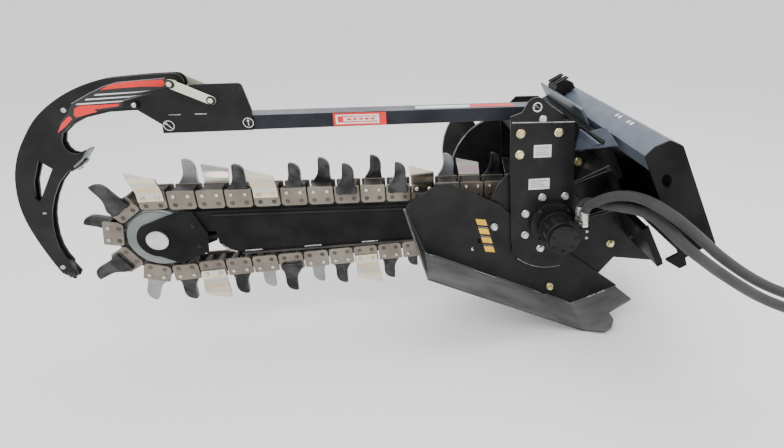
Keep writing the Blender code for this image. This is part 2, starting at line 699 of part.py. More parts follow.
def auger_flight():
    """Helical sheet from inside the tube's wall out to the rim."""
    bm = bmesh.new()
    steps = 48
    thick = 0.008
    rings = []
    for i in range(steps + 1):
        turn = AUGER_TURN * i / steps
        angle = math.radians(AUGER_START_ANGLE - turn)
        y = AUGER_START_Y + AUGER_PITCH * turn / 360.0
        ring = []
        for radius, shift in ((AUGER_TUBE - 0.010, 0.0), (AUGER_RADIUS, 0.0),
                              (AUGER_RADIUS, thick), (AUGER_TUBE - 0.010, thick)):
            ring.append(bm.verts.new((AUGER_AXIS[0] + radius * math.cos(angle), y + shift,
                                      AUGER_AXIS[1] + radius * math.sin(angle))))
        rings.append(ring)
    for a, b in zip(rings, rings[1:]):
        for k in range(4):
            bm.faces.new((a[k], a[(k + 1) % 4], b[(k + 1) % 4], b[k]))
    bm.faces.new(rings[0])
    bm.faces.new(rings[-1][::-1])
    return add_mesh("auger_flight", bm, PAINT, cutter=True)


def build_skid():
    """Skid shoe: upright plate, sloping foot and upturned tail."""
    relief = arc((-0.369, -0.253), 0.033, 143.0, 288.0, 7)
    upright = ([(-0.787, -0.166), (-0.760, -0.129), (-0.670, -0.080), (-0.655, -0.076),
                (-0.634, -0.077), (-0.465, -0.162)] + relief
               + [(-0.330, -0.2745), (-0.203, -0.375), (-0.007, -0.530), (-0.150, -0.583),
                  (-0.189, -0.591), (-0.728, -0.322)])
    holes = [circle(SKID_PIVOT, 0.010 + CLEAR, 12)]
    radius = math.dist(SKID_PIVOT, SKID_LOCK)
    lock_angle = math.degrees(math.atan2(SKID_LOCK[1] - SKID_PIVOT[1],
                                         SKID_LOCK[0] - SKID_PIVOT[0]))
    for step in range(4):
        hole = arc(SKID_PIVOT, radius, lock_angle, lock_angle + 6.5 * step, 1)[-1]
        holes.append(circle(hole, 0.0085, 10))
    prism("skid_plate", upright, *SKID_PLATE, PAINT, holes)
    build_skid_foot()


def tail_point(x, y):
    """A point of the foot's tail, one flat plate that rises to the rear and inwards."""
    inner = SKID_PLATE[0] - GAP
    return x, y, -0.583 + 0.35 * (x + 0.150) + 0.039 / (FOOT_WIDTH - GAP) * (y - inner)


def build_skid_foot():
    """Foot folded from one sheet: tapered front flange, sloping sole and upturned tail."""
    inner, outer = SKID_PLATE[0] - GAP, SKID_PLATE[0] - FOOT_WIDTH
    top = [(-0.784, inner, -0.150), (-0.728, inner, -0.322), (-0.721, outer, -0.3535),
           (-0.188, inner, -0.592)]
    top += [tail_point(x, y) for x, y in (
        (-0.170, outer), (-0.150, inner), (-0.1026, -0.2147), (-0.0776, -0.2094),
        (-0.0609, -0.1834), (-0.0673, -0.1482), (0.0247, -0.1324), (-0.010, inner))]
    faces = [(0, 1, 2), (1, 3, 4, 2), (3, 5, 4), (5, 11, 10, 9, 8, 7, 6, 4)]
    extrude_sheet("skid_foot", top, faces, Vector((-0.004, 0.0, -0.008)), PAINT)


def extrude_sheet(name, points, faces, depth, spec):
    """A folded sheet given by its top face, made solid along one direction."""
    bm = bmesh.new()
    top = [bm.verts.new(point) for point in points]
    for face in faces:
        bm.faces.new([top[i] for i in face])
    made = bmesh.ops.extrude_face_region(bm, geom=bm.faces[:])["geom"]
    moved = [item for item in made if isinstance(item, bmesh.types.BMVert)]
    bmesh.ops.translate(bm, verts=moved, vec=depth)
    for face in faces:
        corners = [top[i] for i in face]
        if bm.faces.get(corners) is None:
            bm.faces.new(corners)
    add_mesh(name, bm, spec)


def build_crumber():
    """Crumber bar with its bracket plates, the hooked shoe and the link straps."""
    bar_end = arc(BAR_PIVOT, 0.022, -90.0, 90.0, 6)
    bar = [(-1.440, BAR_Z[0])] + bar_end + [(-1.440, BAR_Z[1])]
    prism("crumber_bar", bar, *BAR_Y, PAINT, [circle(BAR_PIVOT, 0.0125 + CLEAR, 16)])
    pin = circle(HOOK_PIVOT, 0.009 + GAP, 14)
    for side, y_range, back, drop in (
            ("near", (BAR_Y[0] - GAP - 0.008, BAR_Y[0] - GAP), 0.0, 0.0),
            ("far", (BAR_Y[1] + GAP, BAR_Y[1] + GAP + 0.008), 0.033, 0.022)):
        bracket = rounded([
            (-1.465, 0.106, 0.0), (-1.462, 0.132, 0.0), (-1.522, 0.181, 0.006),
            (-1.552, 0.187, 0.006), (-1.546, 0.203, 0.006), (-1.425, 0.232 - drop / 2.0, 0.01),
            (-1.350, 0.2445 - drop, 0.02), (-1.224 - back, 0.246 - drop, 0.012),
            (-1.209 - back, 0.167, 0.006), (-1.216 - back, 0.106, 0.0)])
        prism("crumber_bracket_" + side, bracket, *y_range, PAINT, [pin])
    low, high = BAR_Y[0] - GAP - 0.008, BAR_Y[1] + GAP + 0.008
    turned("hook_pin", [(0.0, low - 0.012), (0.009, low - 0.012), (0.009, high + 0.012),
                        (0.0, high + 0.012)], HOOK_PIVOT, ZINC, 14)
    strap = capsule(LINK_FRONT, LINK_REAR, 0.013, 8)
    for side, face, outer in (("near", low, -1.0), ("far", high, 1.0)):
        inside, outside = face + outer * 0.0015, face + outer * 0.0075
        link = prism("hook_link_" + side, strap, *sorted((inside, outside)), LINK_ZINC)
        shoe_face = CHAIN_Y + outer * (HOOK_HALF + 0.001)
        bolts = []
        for place, start in ((LINK_REAR, inside), (LINK_FRONT, shoe_face)):
            span = sorted((start, outside + outer * 0.008))
            bolts.append(prism("link_bolt_%s_%d" % (side, len(bolts)), circle(place, 0.0070, 8),
                               *span, ZINC, cutter=True))
        join_solids(link, bolts)
    build_hook()


def hook_back():
    """Smooth outer edge of the hooked shoe, from its heel round to its tip."""
    knots = [(-1.4700, 0.2710), (-1.5350, 0.2662), (-1.6007, 0.2593), (-1.6633, 0.2401),
             (-1.7149, 0.2157), (-1.7623, 0.1855), (-1.8063, 0.1478), (-1.8440, 0.1020),
             (-1.8761, 0.0550), (-1.9030, -0.0009), (-1.9190, -0.0550), (-1.9277, -0.1113),
             (-1.9270, -0.1699), (-1.9172, -0.2359), (-1.9025, -0.3000), (-1.8889, -0.3458)]
    return [(p.x, p.z) for p in smooth_route([(x, 0.0, z) for x, z in knots], 0.022)]


def inset(line, distance):
    """A line moved sideways, to the left of its direction."""
    moved = []
    for i, (x, z) in enumerate(line):
        before, after = line[max(i - 1, 0)], line[min(i + 1, len(line) - 1)]
        dx, dz = after[0] - before[0], after[1] - before[1]
        length = math.hypot(dx, dz)
        moved.append((x - dz / length * distance, z + dx / length * distance))
    return moved


def hook_outline():
    """Side plate of the hooked crumber shoe."""
    tip = [(-1.8585, -0.3710), (-1.8480, -0.3540), (-1.8600, -0.3240)]
    inner = [(-1.8576, -0.3112), (-1.8660, -0.2872), (-1.8706, -0.2565), (-1.8698, -0.2206),
             (-1.8635, -0.1814), (-1.8553, -0.1474), (-1.8445, -0.1183), (-1.8265, -0.0817),
             (-1.8003, -0.0406), (-1.7720, -0.0114), (-1.7457, 0.0082), (-1.7180, 0.0294),
             (-1.6950, 0.0530), (-1.7020, 0.0575), (-1.7180, 0.0470), (-1.7304, 0.0456),
             (-1.7430, 0.0500), (-1.7520, 0.0620), (-1.7553, 0.0820), (-1.7452, 0.1078),
             (-1.7178, 0.1301), (-1.6723, 0.1524), (-1.6024, 0.1675), (-1.5397, 0.1701),
             (-1.5042, 0.1701)]
    heel = [(-1.4637, 0.1964), (-1.4000, 0.2222)] + arc((-1.4100, 0.2490), 0.0238, -40.0, 85.0, 6)
    return hook_back() + tip + inner + heel


def build_hook():
    """Two hook plates with the rib and the wear tip between them."""
    outline = hook_outline()
    window = [(-1.8329, 0.0316), (-1.8041, 0.0045), (-1.8354, -0.0443), (-1.8720, -0.1004),
              (-1.8799, -0.0900), (-1.8663, -0.0345)]
    pin = circle(HOOK_PIVOT, 0.009 + CLEAR, 14)
    for side, y_range in zip(("near", "far"), side_pair(HOOK_HALF - HOOK_SHEET, HOOK_SHEET)):
        prism("hook_plate_" + side, outline, *y_range, PAINT, [window, pin])
    y_low = CHAIN_Y - HOOK_HALF + HOOK_SHEET + GAP
    y_high = CHAIN_Y + HOOK_HALF - HOOK_SHEET - GAP
    back = hook_back()
    rib = inset(back, 0.010)[4:-4] + inset(back, 0.024)[4:-4][::-1]
    prism("hook_rib", rib, y_low, y_high, PAINT)
    tip = [(-1.8900, -0.3100), (-1.8660, -0.3080), (-1.8560, -0.3530), (-1.8600, -0.3640),
           (-1.8830, -0.3440)]
    prism("hook_tip", tip, y_low, y_high, STEEL)


def wedge(name, corners, thickness, spec, parent):
    """A flat triangular plate given by its three corners, thickened along its normal."""
    bm = bmesh.new()
    points = [Vector(corner) for corner in corners]
    normal = (points[1] - points[0]).cross(points[2] - points[0]).normalized()
    low = [bm.verts.new(p) for p in points]
    high = [bm.verts.new(p + normal * thickness) for p in points]
    bm.faces.new(low[::-1])
    bm.faces.new(high)
    for i in range(3):
        j = (i + 1) % 3
        bm.faces.new((low[i], low[j], high[j], high[i]))
    return add_mesh(name, bm, spec, parent)


def build_mount():
    """Loader plate with its rails, and the carriage that slides along them."""
    tilt = bpy.data.objects.new("mount_tilt", None)
    bpy.context.collection.objects.link(tilt)
    tilt.rotation_euler = (0.0, math.radians(-MOUNT_TILT), 0.0)
    half = MOUNT_WIDTH / 2.0
    inside = half - 0.008 - GAP
    box("loader_plate", (-PLATE_THICK, 0.0), (-inside, inside), (-PLATE_HALF, PLATE_HALF), PAINT,
        tilt)
    sheet = 0.008
    top = [(0.0, PLATE_HALF + GAP), (-0.010, PLATE_HALF + GAP), (-0.026, 0.183), (-0.065, 0.188),
           (-0.090, 0.179), (-0.092, 0.140), (-0.100, 0.140), (-0.098, 0.185),
           (-0.067, 0.196), (-0.024, 0.191)]
    prism("top_rail", top, -inside, inside, BLUE_PAINT, parent=tilt)
    low = [(-PLATE_THICK - GAP, -PLATE_HALF), (-PLATE_THICK - GAP, -PLATE_HALF + sheet),
           (-0.084, -PLATE_HALF + sheet), (-0.084, -0.120), (-0.092, -0.120),
           (-0.092, -PLATE_HALF)]
    prism("bottom_rail", low, -inside, inside, PAINT, parent=tilt)
    panel = rounded([(0.0, -0.163, 0.004), (0.0, 0.162, 0.010), (-0.024, 0.1915, 0.012),
                     (-0.067, 0.1965, 0.010), (-0.100, 0.186, 0.008), (-0.108, -0.130, 0.0),
                     (-0.150, -0.128, 0.004), (-0.120, -0.180, 0.004), (-0.097, -0.181, 0.0),
                     (-0.092, -0.145, 0.0)], steps=2)
    hole = [(-0.070 + 0.013 * math.cos(math.radians(a)), 0.095 + 0.020 * math.sin(math.radians(a)))
            for a in range(0, 360, 30)]
    prism("end_panel_near", panel, -half, -inside - GAP, PAINT, [hole], tilt)
    prism("end_panel_far", panel, inside + GAP, half, PAINT, [hole], tilt)
    build_carriage(tilt)


def build_carriage(tilt):
    """Plate and rail of the head frame that run along the loader mount."""
    box("carriage_beam", (-0.1332, -0.1120), (-0.250, 0.440), (0.042, 0.175), PAINT, tilt)
    plate = box("carriage_plate", (-0.1332, -0.1120), (-0.160, 0.240), (-0.300, 0.0417), PAINT,
                tilt)
    wing = box("carriage_wing", (-0.1332, -0.1120), (-0.300, -0.150), (-0.285, -0.130), PAINT,
               tilt, cutter=True)
    join_solids(plate, [wing])
    strip = [(-0.1117, 0.110), (-0.1037, 0.110), (-0.1037, 0.2260), (-0.1117, 0.2260)]
    prism("carriage_rail", strip, -0.060, 0.460, BLUE_PAINT, parent=tilt)
    clip = [(-0.1117, -0.196), (-0.040, -0.196), (-0.040, -0.1675), (-0.1117, -0.1675)]
    prism("carriage_clip", clip, -0.040, 0.160, PAINT, parent=tilt)
    block = [(-0.1034, 0.2000), (-0.0320, 0.2000), (-0.0320, 0.2240), (-0.0460, 0.2400),
             (-0.0880, 0.2440), (-0.1034, 0.2320)]
    prism("lock_bracket", block, 0.255, 0.365, PAINT, parent=tilt)
    wedge("gusset_upper", [(-0.142, -0.060, 0.172), (-0.142, -0.240, 0.172),
                           (-0.172, -0.0475, 0.095)], 0.007, BLUE_PAINT, tilt)
    wedge("gusset_middle", [(-0.142, -0.060, 0.045), (-0.142, -0.190, 0.045),
                            (-0.222, -0.0475, -0.005)], 0.006, PAINT, tilt)


def main():
    """Build every sub-part."""
    clear_scene()
    build_mount()
    build_head_frame()
    build_boom()
    build_nose()
    build_chain()
    build_head_rotor()
    build_auger()
    build_motor()
    build_hoses()
    build_skid()
    build_crumber()
    build_fasteners()


main()
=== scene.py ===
"""Looks of the chain trencher: camera, hoses, materials, chain links, fasteners and marks.

Row frame, metres: +X from the digging nose to the loader, +Y away from the operator's
side, +Z up. Outlines are (x, z) points in the plane of the boom, given a thickness along Y.
"""
import json
import math

import bmesh
import bpy
from mathutils import Matrix, Vector
from mathutils.geometry import tessellate_polygon


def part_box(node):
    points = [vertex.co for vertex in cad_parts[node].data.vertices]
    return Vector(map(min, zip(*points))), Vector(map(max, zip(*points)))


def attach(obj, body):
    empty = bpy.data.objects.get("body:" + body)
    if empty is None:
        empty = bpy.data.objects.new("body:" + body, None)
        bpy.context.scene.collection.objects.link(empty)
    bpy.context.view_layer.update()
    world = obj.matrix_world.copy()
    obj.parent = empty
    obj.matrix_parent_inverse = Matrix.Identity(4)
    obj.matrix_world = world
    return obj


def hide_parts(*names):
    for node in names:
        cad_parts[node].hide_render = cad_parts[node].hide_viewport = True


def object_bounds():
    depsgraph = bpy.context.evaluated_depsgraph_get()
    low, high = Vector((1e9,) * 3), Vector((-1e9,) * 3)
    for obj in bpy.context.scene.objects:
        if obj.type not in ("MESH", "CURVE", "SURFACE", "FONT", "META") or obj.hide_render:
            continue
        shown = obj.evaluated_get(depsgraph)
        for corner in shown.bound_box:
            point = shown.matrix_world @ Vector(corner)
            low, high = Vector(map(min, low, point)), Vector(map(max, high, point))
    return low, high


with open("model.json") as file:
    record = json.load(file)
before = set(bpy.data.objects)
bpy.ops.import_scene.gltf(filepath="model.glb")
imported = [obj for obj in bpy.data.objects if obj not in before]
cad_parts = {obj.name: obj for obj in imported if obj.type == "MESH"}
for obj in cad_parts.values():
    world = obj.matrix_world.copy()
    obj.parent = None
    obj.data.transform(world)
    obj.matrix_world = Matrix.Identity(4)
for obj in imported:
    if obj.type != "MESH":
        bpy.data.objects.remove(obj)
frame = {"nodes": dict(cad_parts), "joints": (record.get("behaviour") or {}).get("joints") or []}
cad_box = [list(corner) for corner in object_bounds()]
JOINTS = {joint["name"]: joint for joint in frame["joints"]}

CAMERA_PLACE = (-0.74832, -1.59693, 0.49203)
CAMERA_YAW = math.radians(10.693)
CAMERA_PITCH = math.radians(24.893)
CAMERA_ROLL = math.radians(-0.43)
CAMERA_LENS = 22.96
CAMERA_SHIFT = -0.14027
HEAD_FRAME = "trencher_frame"


def pivot(joint):
    """Place of a joint's axis as (x, z)."""
    place = JOINTS[joint]["pos_m"]
    return place[0], place[2]


HEAD = pivot("head_spin")
NOSE = pivot("idler_spin")
AUGER_AXIS = pivot("auger_spin")
HOOK_PIVOT = pivot("hook_pivot")
SKID_PIVOT = pivot("skid_adjust")

# Faces of the CAD nodes that details sit on
HEAD_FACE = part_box("head_plate")[0].y
SIDE_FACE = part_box("side_plate_near")[0].y
SKID_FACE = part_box("skid_plate")[0].y
HOOK_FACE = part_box("hook_plate_near")[0].y
HOOK_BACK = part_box("hook_plate_far")[1].y
BRACKET_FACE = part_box("crumber_bracket_near")[0].y
BAR_LOW, BAR_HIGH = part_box("crumber_bar")
BOOM_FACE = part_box("boom_beam")[0].y

# Digging chain
PITCH = 0.0418
CHAIN_PINS = 76
CHAIN_Y = 0.06
SPROCKET_RADIUS = PITCH / (2.0 * math.sin(math.pi / 12))
IDLER_RADIUS = 0.114
LINK_OUT = 0.04
LINK_IN = 0.0318
LINK_HALF = 0.0395
LINK_TOP = 0.045
LINK_CORNER = 0.011
TURN_LINKS = range(17, 23)
SPROCKET_PINS = (75, 0, 1, 2, 3, 4, 5, 6, 7)

# Spoil auger: flight radius, tube radius, rise per turn, and the angles that it covers
AUGER_RADIUS = 0.222
AUGER_TUBE = 0.045
AUGER_LEAD = 0.36
AUGER_START = 200.0
AUGER_TURN = 440.0
AUGER_STEPS = 220
AUGER_Y = 0.2
FLIGHT_THICK = 0.0065

MOUNT_TILT = math.radians(27.1)

# Soft lights: place, target, size and power
LIGHTS = {
    "key": ((-1.9, -2.4, 2.9), (-0.7, 0.0, -0.1), 2.2, 75.0),
    "top": ((-0.4, 0.6, 3.2), (-0.6, 0.0, 0.0), 2.6, 60.0),
    "side": ((1.6, -2.2, 1.2), (-0.4, 0.0, -0.2), 1.4, 18.0),
}
SKY_STRENGTH = 1.3
FLOOR_HALF = 120.0


# -------- camera

def make_camera():
    """Camera with its own axes worked out from yaw, pitch and roll."""
    ahead = Vector((math.sin(CAMERA_YAW) * math.cos(CAMERA_PITCH),
                    math.cos(CAMERA_YAW) * math.cos(CAMERA_PITCH), -math.sin(CAMERA_PITCH)))
    level = Vector((math.cos(CAMERA_YAW), -math.sin(CAMERA_YAW), 0.0))
    down = ahead.cross(level)
    right = level * math.cos(CAMERA_ROLL) + down * math.sin(CAMERA_ROLL)
    below = down * math.cos(CAMERA_ROLL) - level * math.sin(CAMERA_ROLL)
    data = bpy.data.cameras.new("camera")
    data.sensor_width = 36.0
    data.lens = CAMERA_LENS
    data.shift_x = CAMERA_SHIFT
    data.clip_end = 300.0
    camera = bpy.data.objects.new("camera", data)
    bpy.context.scene.collection.objects.link(camera)
    turn = Matrix((right, -below, -ahead)).transposed().to_4x4()
    camera.matrix_world = Matrix.Translation(CAMERA_PLACE) @ turn
    bpy.context.scene.camera = camera


# -------- materials

def add_node(tree, kind, settings=None, **inputs):
    """One shader node; an input is a value or another node's output."""
    made = tree.nodes.new(kind)
    for key, value in (settings or {}).items():
        setattr(made, key, value)
    for key, value in inputs.items():
        socket = made.inputs[key.replace("_", " ")]
        if isinstance(value, bpy.types.NodeSocket):
            tree.links.new(value, socket)
        else:
            socket.default_value = value
    return made


def spread(tree, value, low, high, to_low=0.0, to_high=1.0):
    """Map one range of a value to another."""
    made = add_node(tree, "ShaderNodeMapRange", Value=value)
    for index, number in enumerate((low, high, to_low, to_high)):
        made.inputs[index + 1].default_value = number
    return made.outputs["Result"]


def blend_colour(tree, factor, first, second):
    """Mix two colours, each a socket or an RGB triple."""
    made = tree.nodes.new("ShaderNodeMix")
    made.data_type = "RGBA"
    tree.links.new(factor, made.inputs["Factor"])
    for socket, value in ((made.inputs[6], first), (made.inputs[7], second)):
        if isinstance(value, bpy.types.NodeSocket):
            tree.links.new(value, socket)
        else:
            socket.default_value = (*value, 1.0)
    return made.outputs[2]


def combine(tree, operation, first, second):
    """Two values joined by one step of arithmetic."""
    made = tree.nodes.new("ShaderNodeMath")
    made.operation = operation
    tree.links.new(first, made.inputs[0])
    tree.links.new(second, made.inputs[1])
    return made.outputs[0]


def noise(tree, vector, scale, detail=4.0):
    """Fractal noise value."""
    return add_node(tree, "ShaderNodeTexNoise", Vector=vector, Scale=scale, Detail=detail).outputs[
        "Fac"]


def worn_edges(tree, place, width, amount):
    """Mask of sharp edges, broken up by noise."""
    rounded = add_node(tree, "ShaderNodeBevel", {"samples": 4}, Radius=width)
    flat = tree.nodes.new("ShaderNodeNewGeometry")
    dot = tree.nodes.new("ShaderNodeVectorMath")
    dot.operation = "DOT_PRODUCT"
    tree.links.new(rounded.outputs["Normal"], dot.inputs[0])
    tree.links.new(flat.outputs["Normal"], dot.inputs[1])
    edge = spread(tree, dot.outputs["Value"], 0.97, 0.8, 0.0, 1.0)
    patch = spread(tree, noise(tree, place, 22.0, 5.0), 0.62 - 0.25 * amount, 0.62)
    return combine(tree, "MULTIPLY", edge, patch)


def surface(name, tones, rough, metallic=0.0, grain=60.0, bump=0.12, drift=7.0, stretch=None,
            wear=None, dust_and_sheen=None, specular=0.5, coat=0.0):
    """Painted or bare metal: tones drift, roughness and bump follow a grain, edges wear, and faces that
    look up take a second colour: dust on the black paints, a painted sheen of top light on blue_paint
    and bar_paint, a mid grey on scuffed_paint. Stretch draws the grain out along one axis."""
    mat = bpy.data.materials.new(name)
    mat.use_nodes = True
    tree = mat.node_tree
    shader = tree.nodes["Principled BSDF"]
    place = tree.nodes.new("ShaderNodeTexCoord").outputs["Object"]
    fine = place
    if stretch:
        scaled = add_node(tree, "ShaderNodeMapping", Vector=place, Scale=stretch)
        fine = scaled.outputs["Vector"]
    colour = blend_colour(tree, spread(tree, noise(tree, fine, drift, 6.0), 0.38, 0.62), *tones)
    roughness = spread(tree, noise(tree, place, 4.0, 5.0), 0.35, 0.65, *rough)
    # faces that look up take the given colour: dust on some paints, a painted sheen of top light on
    # others
    if dust_and_sheen:
        up = tree.nodes.new("ShaderNodeSeparateXYZ")
        tree.links.new(tree.nodes.new("ShaderNodeNewGeometry").outputs["Normal"], up.inputs[0])
        dust_and_sheen_mask = combine(tree, "MULTIPLY", spread(tree, up.outputs["Z"], 0.2, 0.95, 0.05, dust_and_sheen[1]),
                        spread(tree, noise(tree, fine, 14.0, 8.0), 0.38, 0.64, 0.55, 1.0))
        colour = blend_colour(tree, dust_and_sheen_mask, colour, dust_and_sheen[0])
    if wear:
        edge = worn_edges(tree, place, wear[1], wear[2])
        colour = blend_colour(tree, edge, colour, wear[0])
    tree.links.new(colour, shader.inputs["Base Color"])
    tree.links.new(roughness, shader.inputs["Roughness"])
    shader.inputs["Metallic"].default_value = metallic
    shader.inputs["Specular IOR Level"].default_value = specular
    shader.inputs["Coat Weight"].default_value = coat
    shader.inputs["Coat Roughness"].default_value = 0.15
    relief = add_node(
        tree, "ShaderNodeBump", Height=noise(tree, fine, grain), Strength=bump, Distance=0.001)
    tree.links.new(relief.outputs["Normal"], shader.inputs["Normal"])
    return mat


def heat_tinted(name, tints):
    """Polished plate with bands of oxide tint running across it."""
    mat = surface(name, tints[:2], (0.16, 0.3), 1.0, 160.0, 0.1, 16.0, (0.3, 1.0, 1.6),
                  ((0.75, 0.74, 0.7), 0.0015, 0.8))
    tree = mat.node_tree
    shader = tree.nodes["Principled BSDF"]
    place = tree.nodes.new("ShaderNodeTexCoord").outputs["Object"]
    wave = add_node(tree, "ShaderNodeTexWave", {"bands_direction": "Z"}, Vector=place, Scale=9.0,
                    Distortion=2.2, Detail=2.0)
    before = shader.inputs["Base Color"].links[0].from_socket
    colour = blend_colour(tree, spread(tree, wave.outputs["Fac"], 0.25, 0.85), before, tints[2])
    tree.links.new(colour, shader.inputs["Base Color"])
    return mat


def woven(name):
    """Woven nylon sleeve: two crossing sets of yarns along the hose."""
    mat = bpy.data.materials.new(name)
    mat.use_nodes = True
    tree = mat.node_tree
    shader = tree.nodes["Principled BSDF"]
    place = tree.nodes.new("ShaderNodeTexCoord").outputs["UV"]
    yarns = []
    for angle in (45.0, -45.0):
        turned = add_node(
            tree, "ShaderNodeMapping", Vector=place, Rotation=(0.0, 0.0, math.radians(angle)))
        wave = add_node(tree, "ShaderNodeTexWave", Vector=turned.outputs["Vector"], Scale=9.0,
                        Distortion=0.3, Detail=1.0)
        yarns.append(wave.outputs["Fac"])
    weave = combine(tree, "MAXIMUM", *yarns)
    object_place = tree.nodes.new("ShaderNodeTexCoord").outputs["Object"]
    rub = spread(tree, noise(tree, object_place, 9.0, 6.0), 0.4, 0.7)
    dark = blend_colour(tree, weave, (0.006, 0.006, 0.006), (0.024, 0.0235, 0.023))
    colour = blend_colour(tree, combine(tree, "MULTIPLY", rub, weave), dark, (0.046, 0.045, 0.043))
    tree.links.new(colour, shader.inputs["Base Color"])
    tree.links.new(spread(tree, weave, 0.0, 1.0, 0.85, 0.55), shader.inputs["Roughness"])
    relief = add_node(tree, "ShaderNodeBump", Height=weave, Strength=0.5, Distance=0.0008)
    tree.links.new(relief.outputs["Normal"], shader.inputs["Normal"])
    shader.inputs["Sheen Weight"].default_value = 0.08
    return mat


BARE = (0.3, 0.29, 0.28)
DUST = (0.22, 0.21, 0.2)
# Each surface: name, two tones, roughness range, then metallic, grain, bump and drift
MATERIALS = {
    "black": surface(
        "black_paint", ((0.0035, 0.0035, 0.0042), (0.0075, 0.0075, 0.0088)), (0.24, 0.4), grain=150.0,
        bump=0.12, wear=((0.09, 0.09, 0.1), 0.0018, 0.6), dust_and_sheen=(DUST, 0.04), specular=0.13, coat=0.05),
    # painted shade: a darker copy of black_paint for the boom, mount, carriage and far side plate, which
    # lie in shade
    "painted_shade_black": surface(
        "painted_shade_black_paint", ((0.0018, 0.0018, 0.0024), (0.0042, 0.0042, 0.0052)), (0.3, 0.46),
        grain=150.0, bump=0.12, wear=((0.08, 0.08, 0.09), 0.0018, 0.6), dust_and_sheen=(DUST, 0.02),
        specular=0.05, coat=0.02),
    # faces that look up are laid almost wholly over with a mid grey
    "scuffed": surface(
        "scuffed_paint", ((0.012, 0.012, 0.012), (0.036, 0.036, 0.036)), (0.34, 0.55), grain=90.0,
        bump=0.25, drift=12.0, stretch=(0.3, 1.6, 1.0), wear=(BARE, 0.004, 0.9),
        dust_and_sheen=((0.145, 0.145, 0.147), 0.95)),
    # painted sheen: the paler blue laid on faces that look up stands for top light, not dust
    "blue": surface(
        "blue_paint", ((0.05, 0.061, 0.082), (0.078, 0.093, 0.12)), (0.28, 0.42), grain=120.0,
        bump=0.12, wear=((0.4, 0.42, 0.45), 0.002, 0.7), dust_and_sheen=((0.17, 0.2, 0.25), 0.35), specular=0.35),
    # painted sheen: the bluish grey laid on faces that look up stands for top light on the bar, not dust
    "bar": surface(
        "bar_paint", ((0.005, 0.0055, 0.008), (0.01, 0.011, 0.015)), (0.22, 0.34), grain=130.0,
        bump=0.1, wear=((0.25, 0.26, 0.3), 0.0018, 0.6), dust_and_sheen=((0.26, 0.28, 0.34), 0.34), specular=0.12,
        coat=0.05),
    "link": surface(
        "link_steel", ((0.165, 0.135, 0.115), (0.225, 0.205, 0.165)), (0.34, 0.52), 0.65, 90.0, 0.25,
        9.0, wear=((0.52, 0.49, 0.45), 0.0014, 0.8)),
    "dark": surface(
        "oiled_steel", ((0.03, 0.028, 0.026), (0.065, 0.06, 0.055)), (0.35, 0.55), 0.7, 70.0, 0.3),
    "tooth": surface(
        "tooth_steel", ((0.008, 0.008, 0.009), (0.05, 0.048, 0.05)), (0.2, 0.42), 0.45, 55.0, 0.35,
        26.0, wear=((0.5, 0.48, 0.46), 0.0025, 0.9), specular=0.3, coat=0.15),
    "tooth_grey": surface(
        "ground_tooth_steel", ((0.21, 0.21, 0.225), (0.3, 0.3, 0.32)), (0.28, 0.42), 0.8, 90.0, 0.25,
        14.0, wear=((0.62, 0.61, 0.6), 0.002, 0.8)),
    "gold": heat_tinted("gold_tinted_plate", ((0.62, 0.47, 0.3), (0.72, 0.64, 0.5), (0.56, 0.54, 0.5))),
    "tinted": heat_tinted(
        "purple_tinted_plate", ((0.36, 0.37, 0.31), (0.5, 0.52, 0.47), (0.4, 0.29, 0.33))),
    "ring": surface(
        "ring_steel", ((0.14, 0.166, 0.16), (0.195, 0.212, 0.205)), (0.3, 0.45), 0.7, 80.0, 0.2,
        wear=((0.6, 0.61, 0.6), 0.002, 0.7)),
    "zinc": surface(
        "zinc_plate", ((0.52, 0.52, 0.5), (0.66, 0.66, 0.63)), (0.22, 0.36), 0.9, 140.0, 0.15, 20.0,
        wear=((0.8, 0.8, 0.78), 0.001, 0.7)),
    "yellow_zinc": surface(
        "yellow_zinc_plate", ((0.55, 0.47, 0.22), (0.7, 0.66, 0.4)), (0.22, 0.36), 0.85, 140.0, 0.15,
        24.0, wear=((0.8, 0.76, 0.6), 0.001, 0.7)),
    "strap": surface(
        "strap_zinc_plate", ((0.62, 0.66, 0.47), (0.72, 0.74, 0.6)), (0.28, 0.42), 0.45, 110.0, 0.15,
        16.0, wear=((0.85, 0.86, 0.78), 0.0012, 0.6)),
    "weld": surface(
        "weld_metal", ((0.2, 0.2, 0.2), (0.42, 0.42, 0.42)), (0.25, 0.4), 0.8, 120.0, 0.3, 40.0),
    "red": surface(
        "decal_red", ((0.66, 0.01, 0.01), (0.76, 0.026, 0.022)), (0.3, 0.42), grain=200.0, bump=0.05),
    "pin": surface(
        "pin_steel", ((0.06, 0.052, 0.046), (0.1, 0.09, 0.08)), (0.35, 0.5), 0.6, 90.0, 0.25),
    "white": surface(
        "decal_white", ((0.62, 0.63, 0.63), (0.75, 0.75, 0.74)), (0.35, 0.5), grain=200.0, bump=0.05,
        drift=24.0),
    "grey": surface(
        "decal_grey", ((0.16, 0.16, 0.17), (0.22, 0.22, 0.23)), (0.35, 0.45), grain=200.0, bump=0.05),
    "yellow": surface(
        "mark_yellow", ((0.72, 0.42, 0.02), (0.8, 0.52, 0.05)), (0.4, 0.55), grain=180.0, bump=0.1,
        drift=40.0),
    "glass_black": surface(
        "decal_black", ((0.012, 0.012, 0.013), (0.018, 0.018, 0.02)), (0.25, 0.35), grain=200.0,
        bump=0.04),
    "sleeve": woven("woven_sleeve"),
}


# -------- mesh helpers

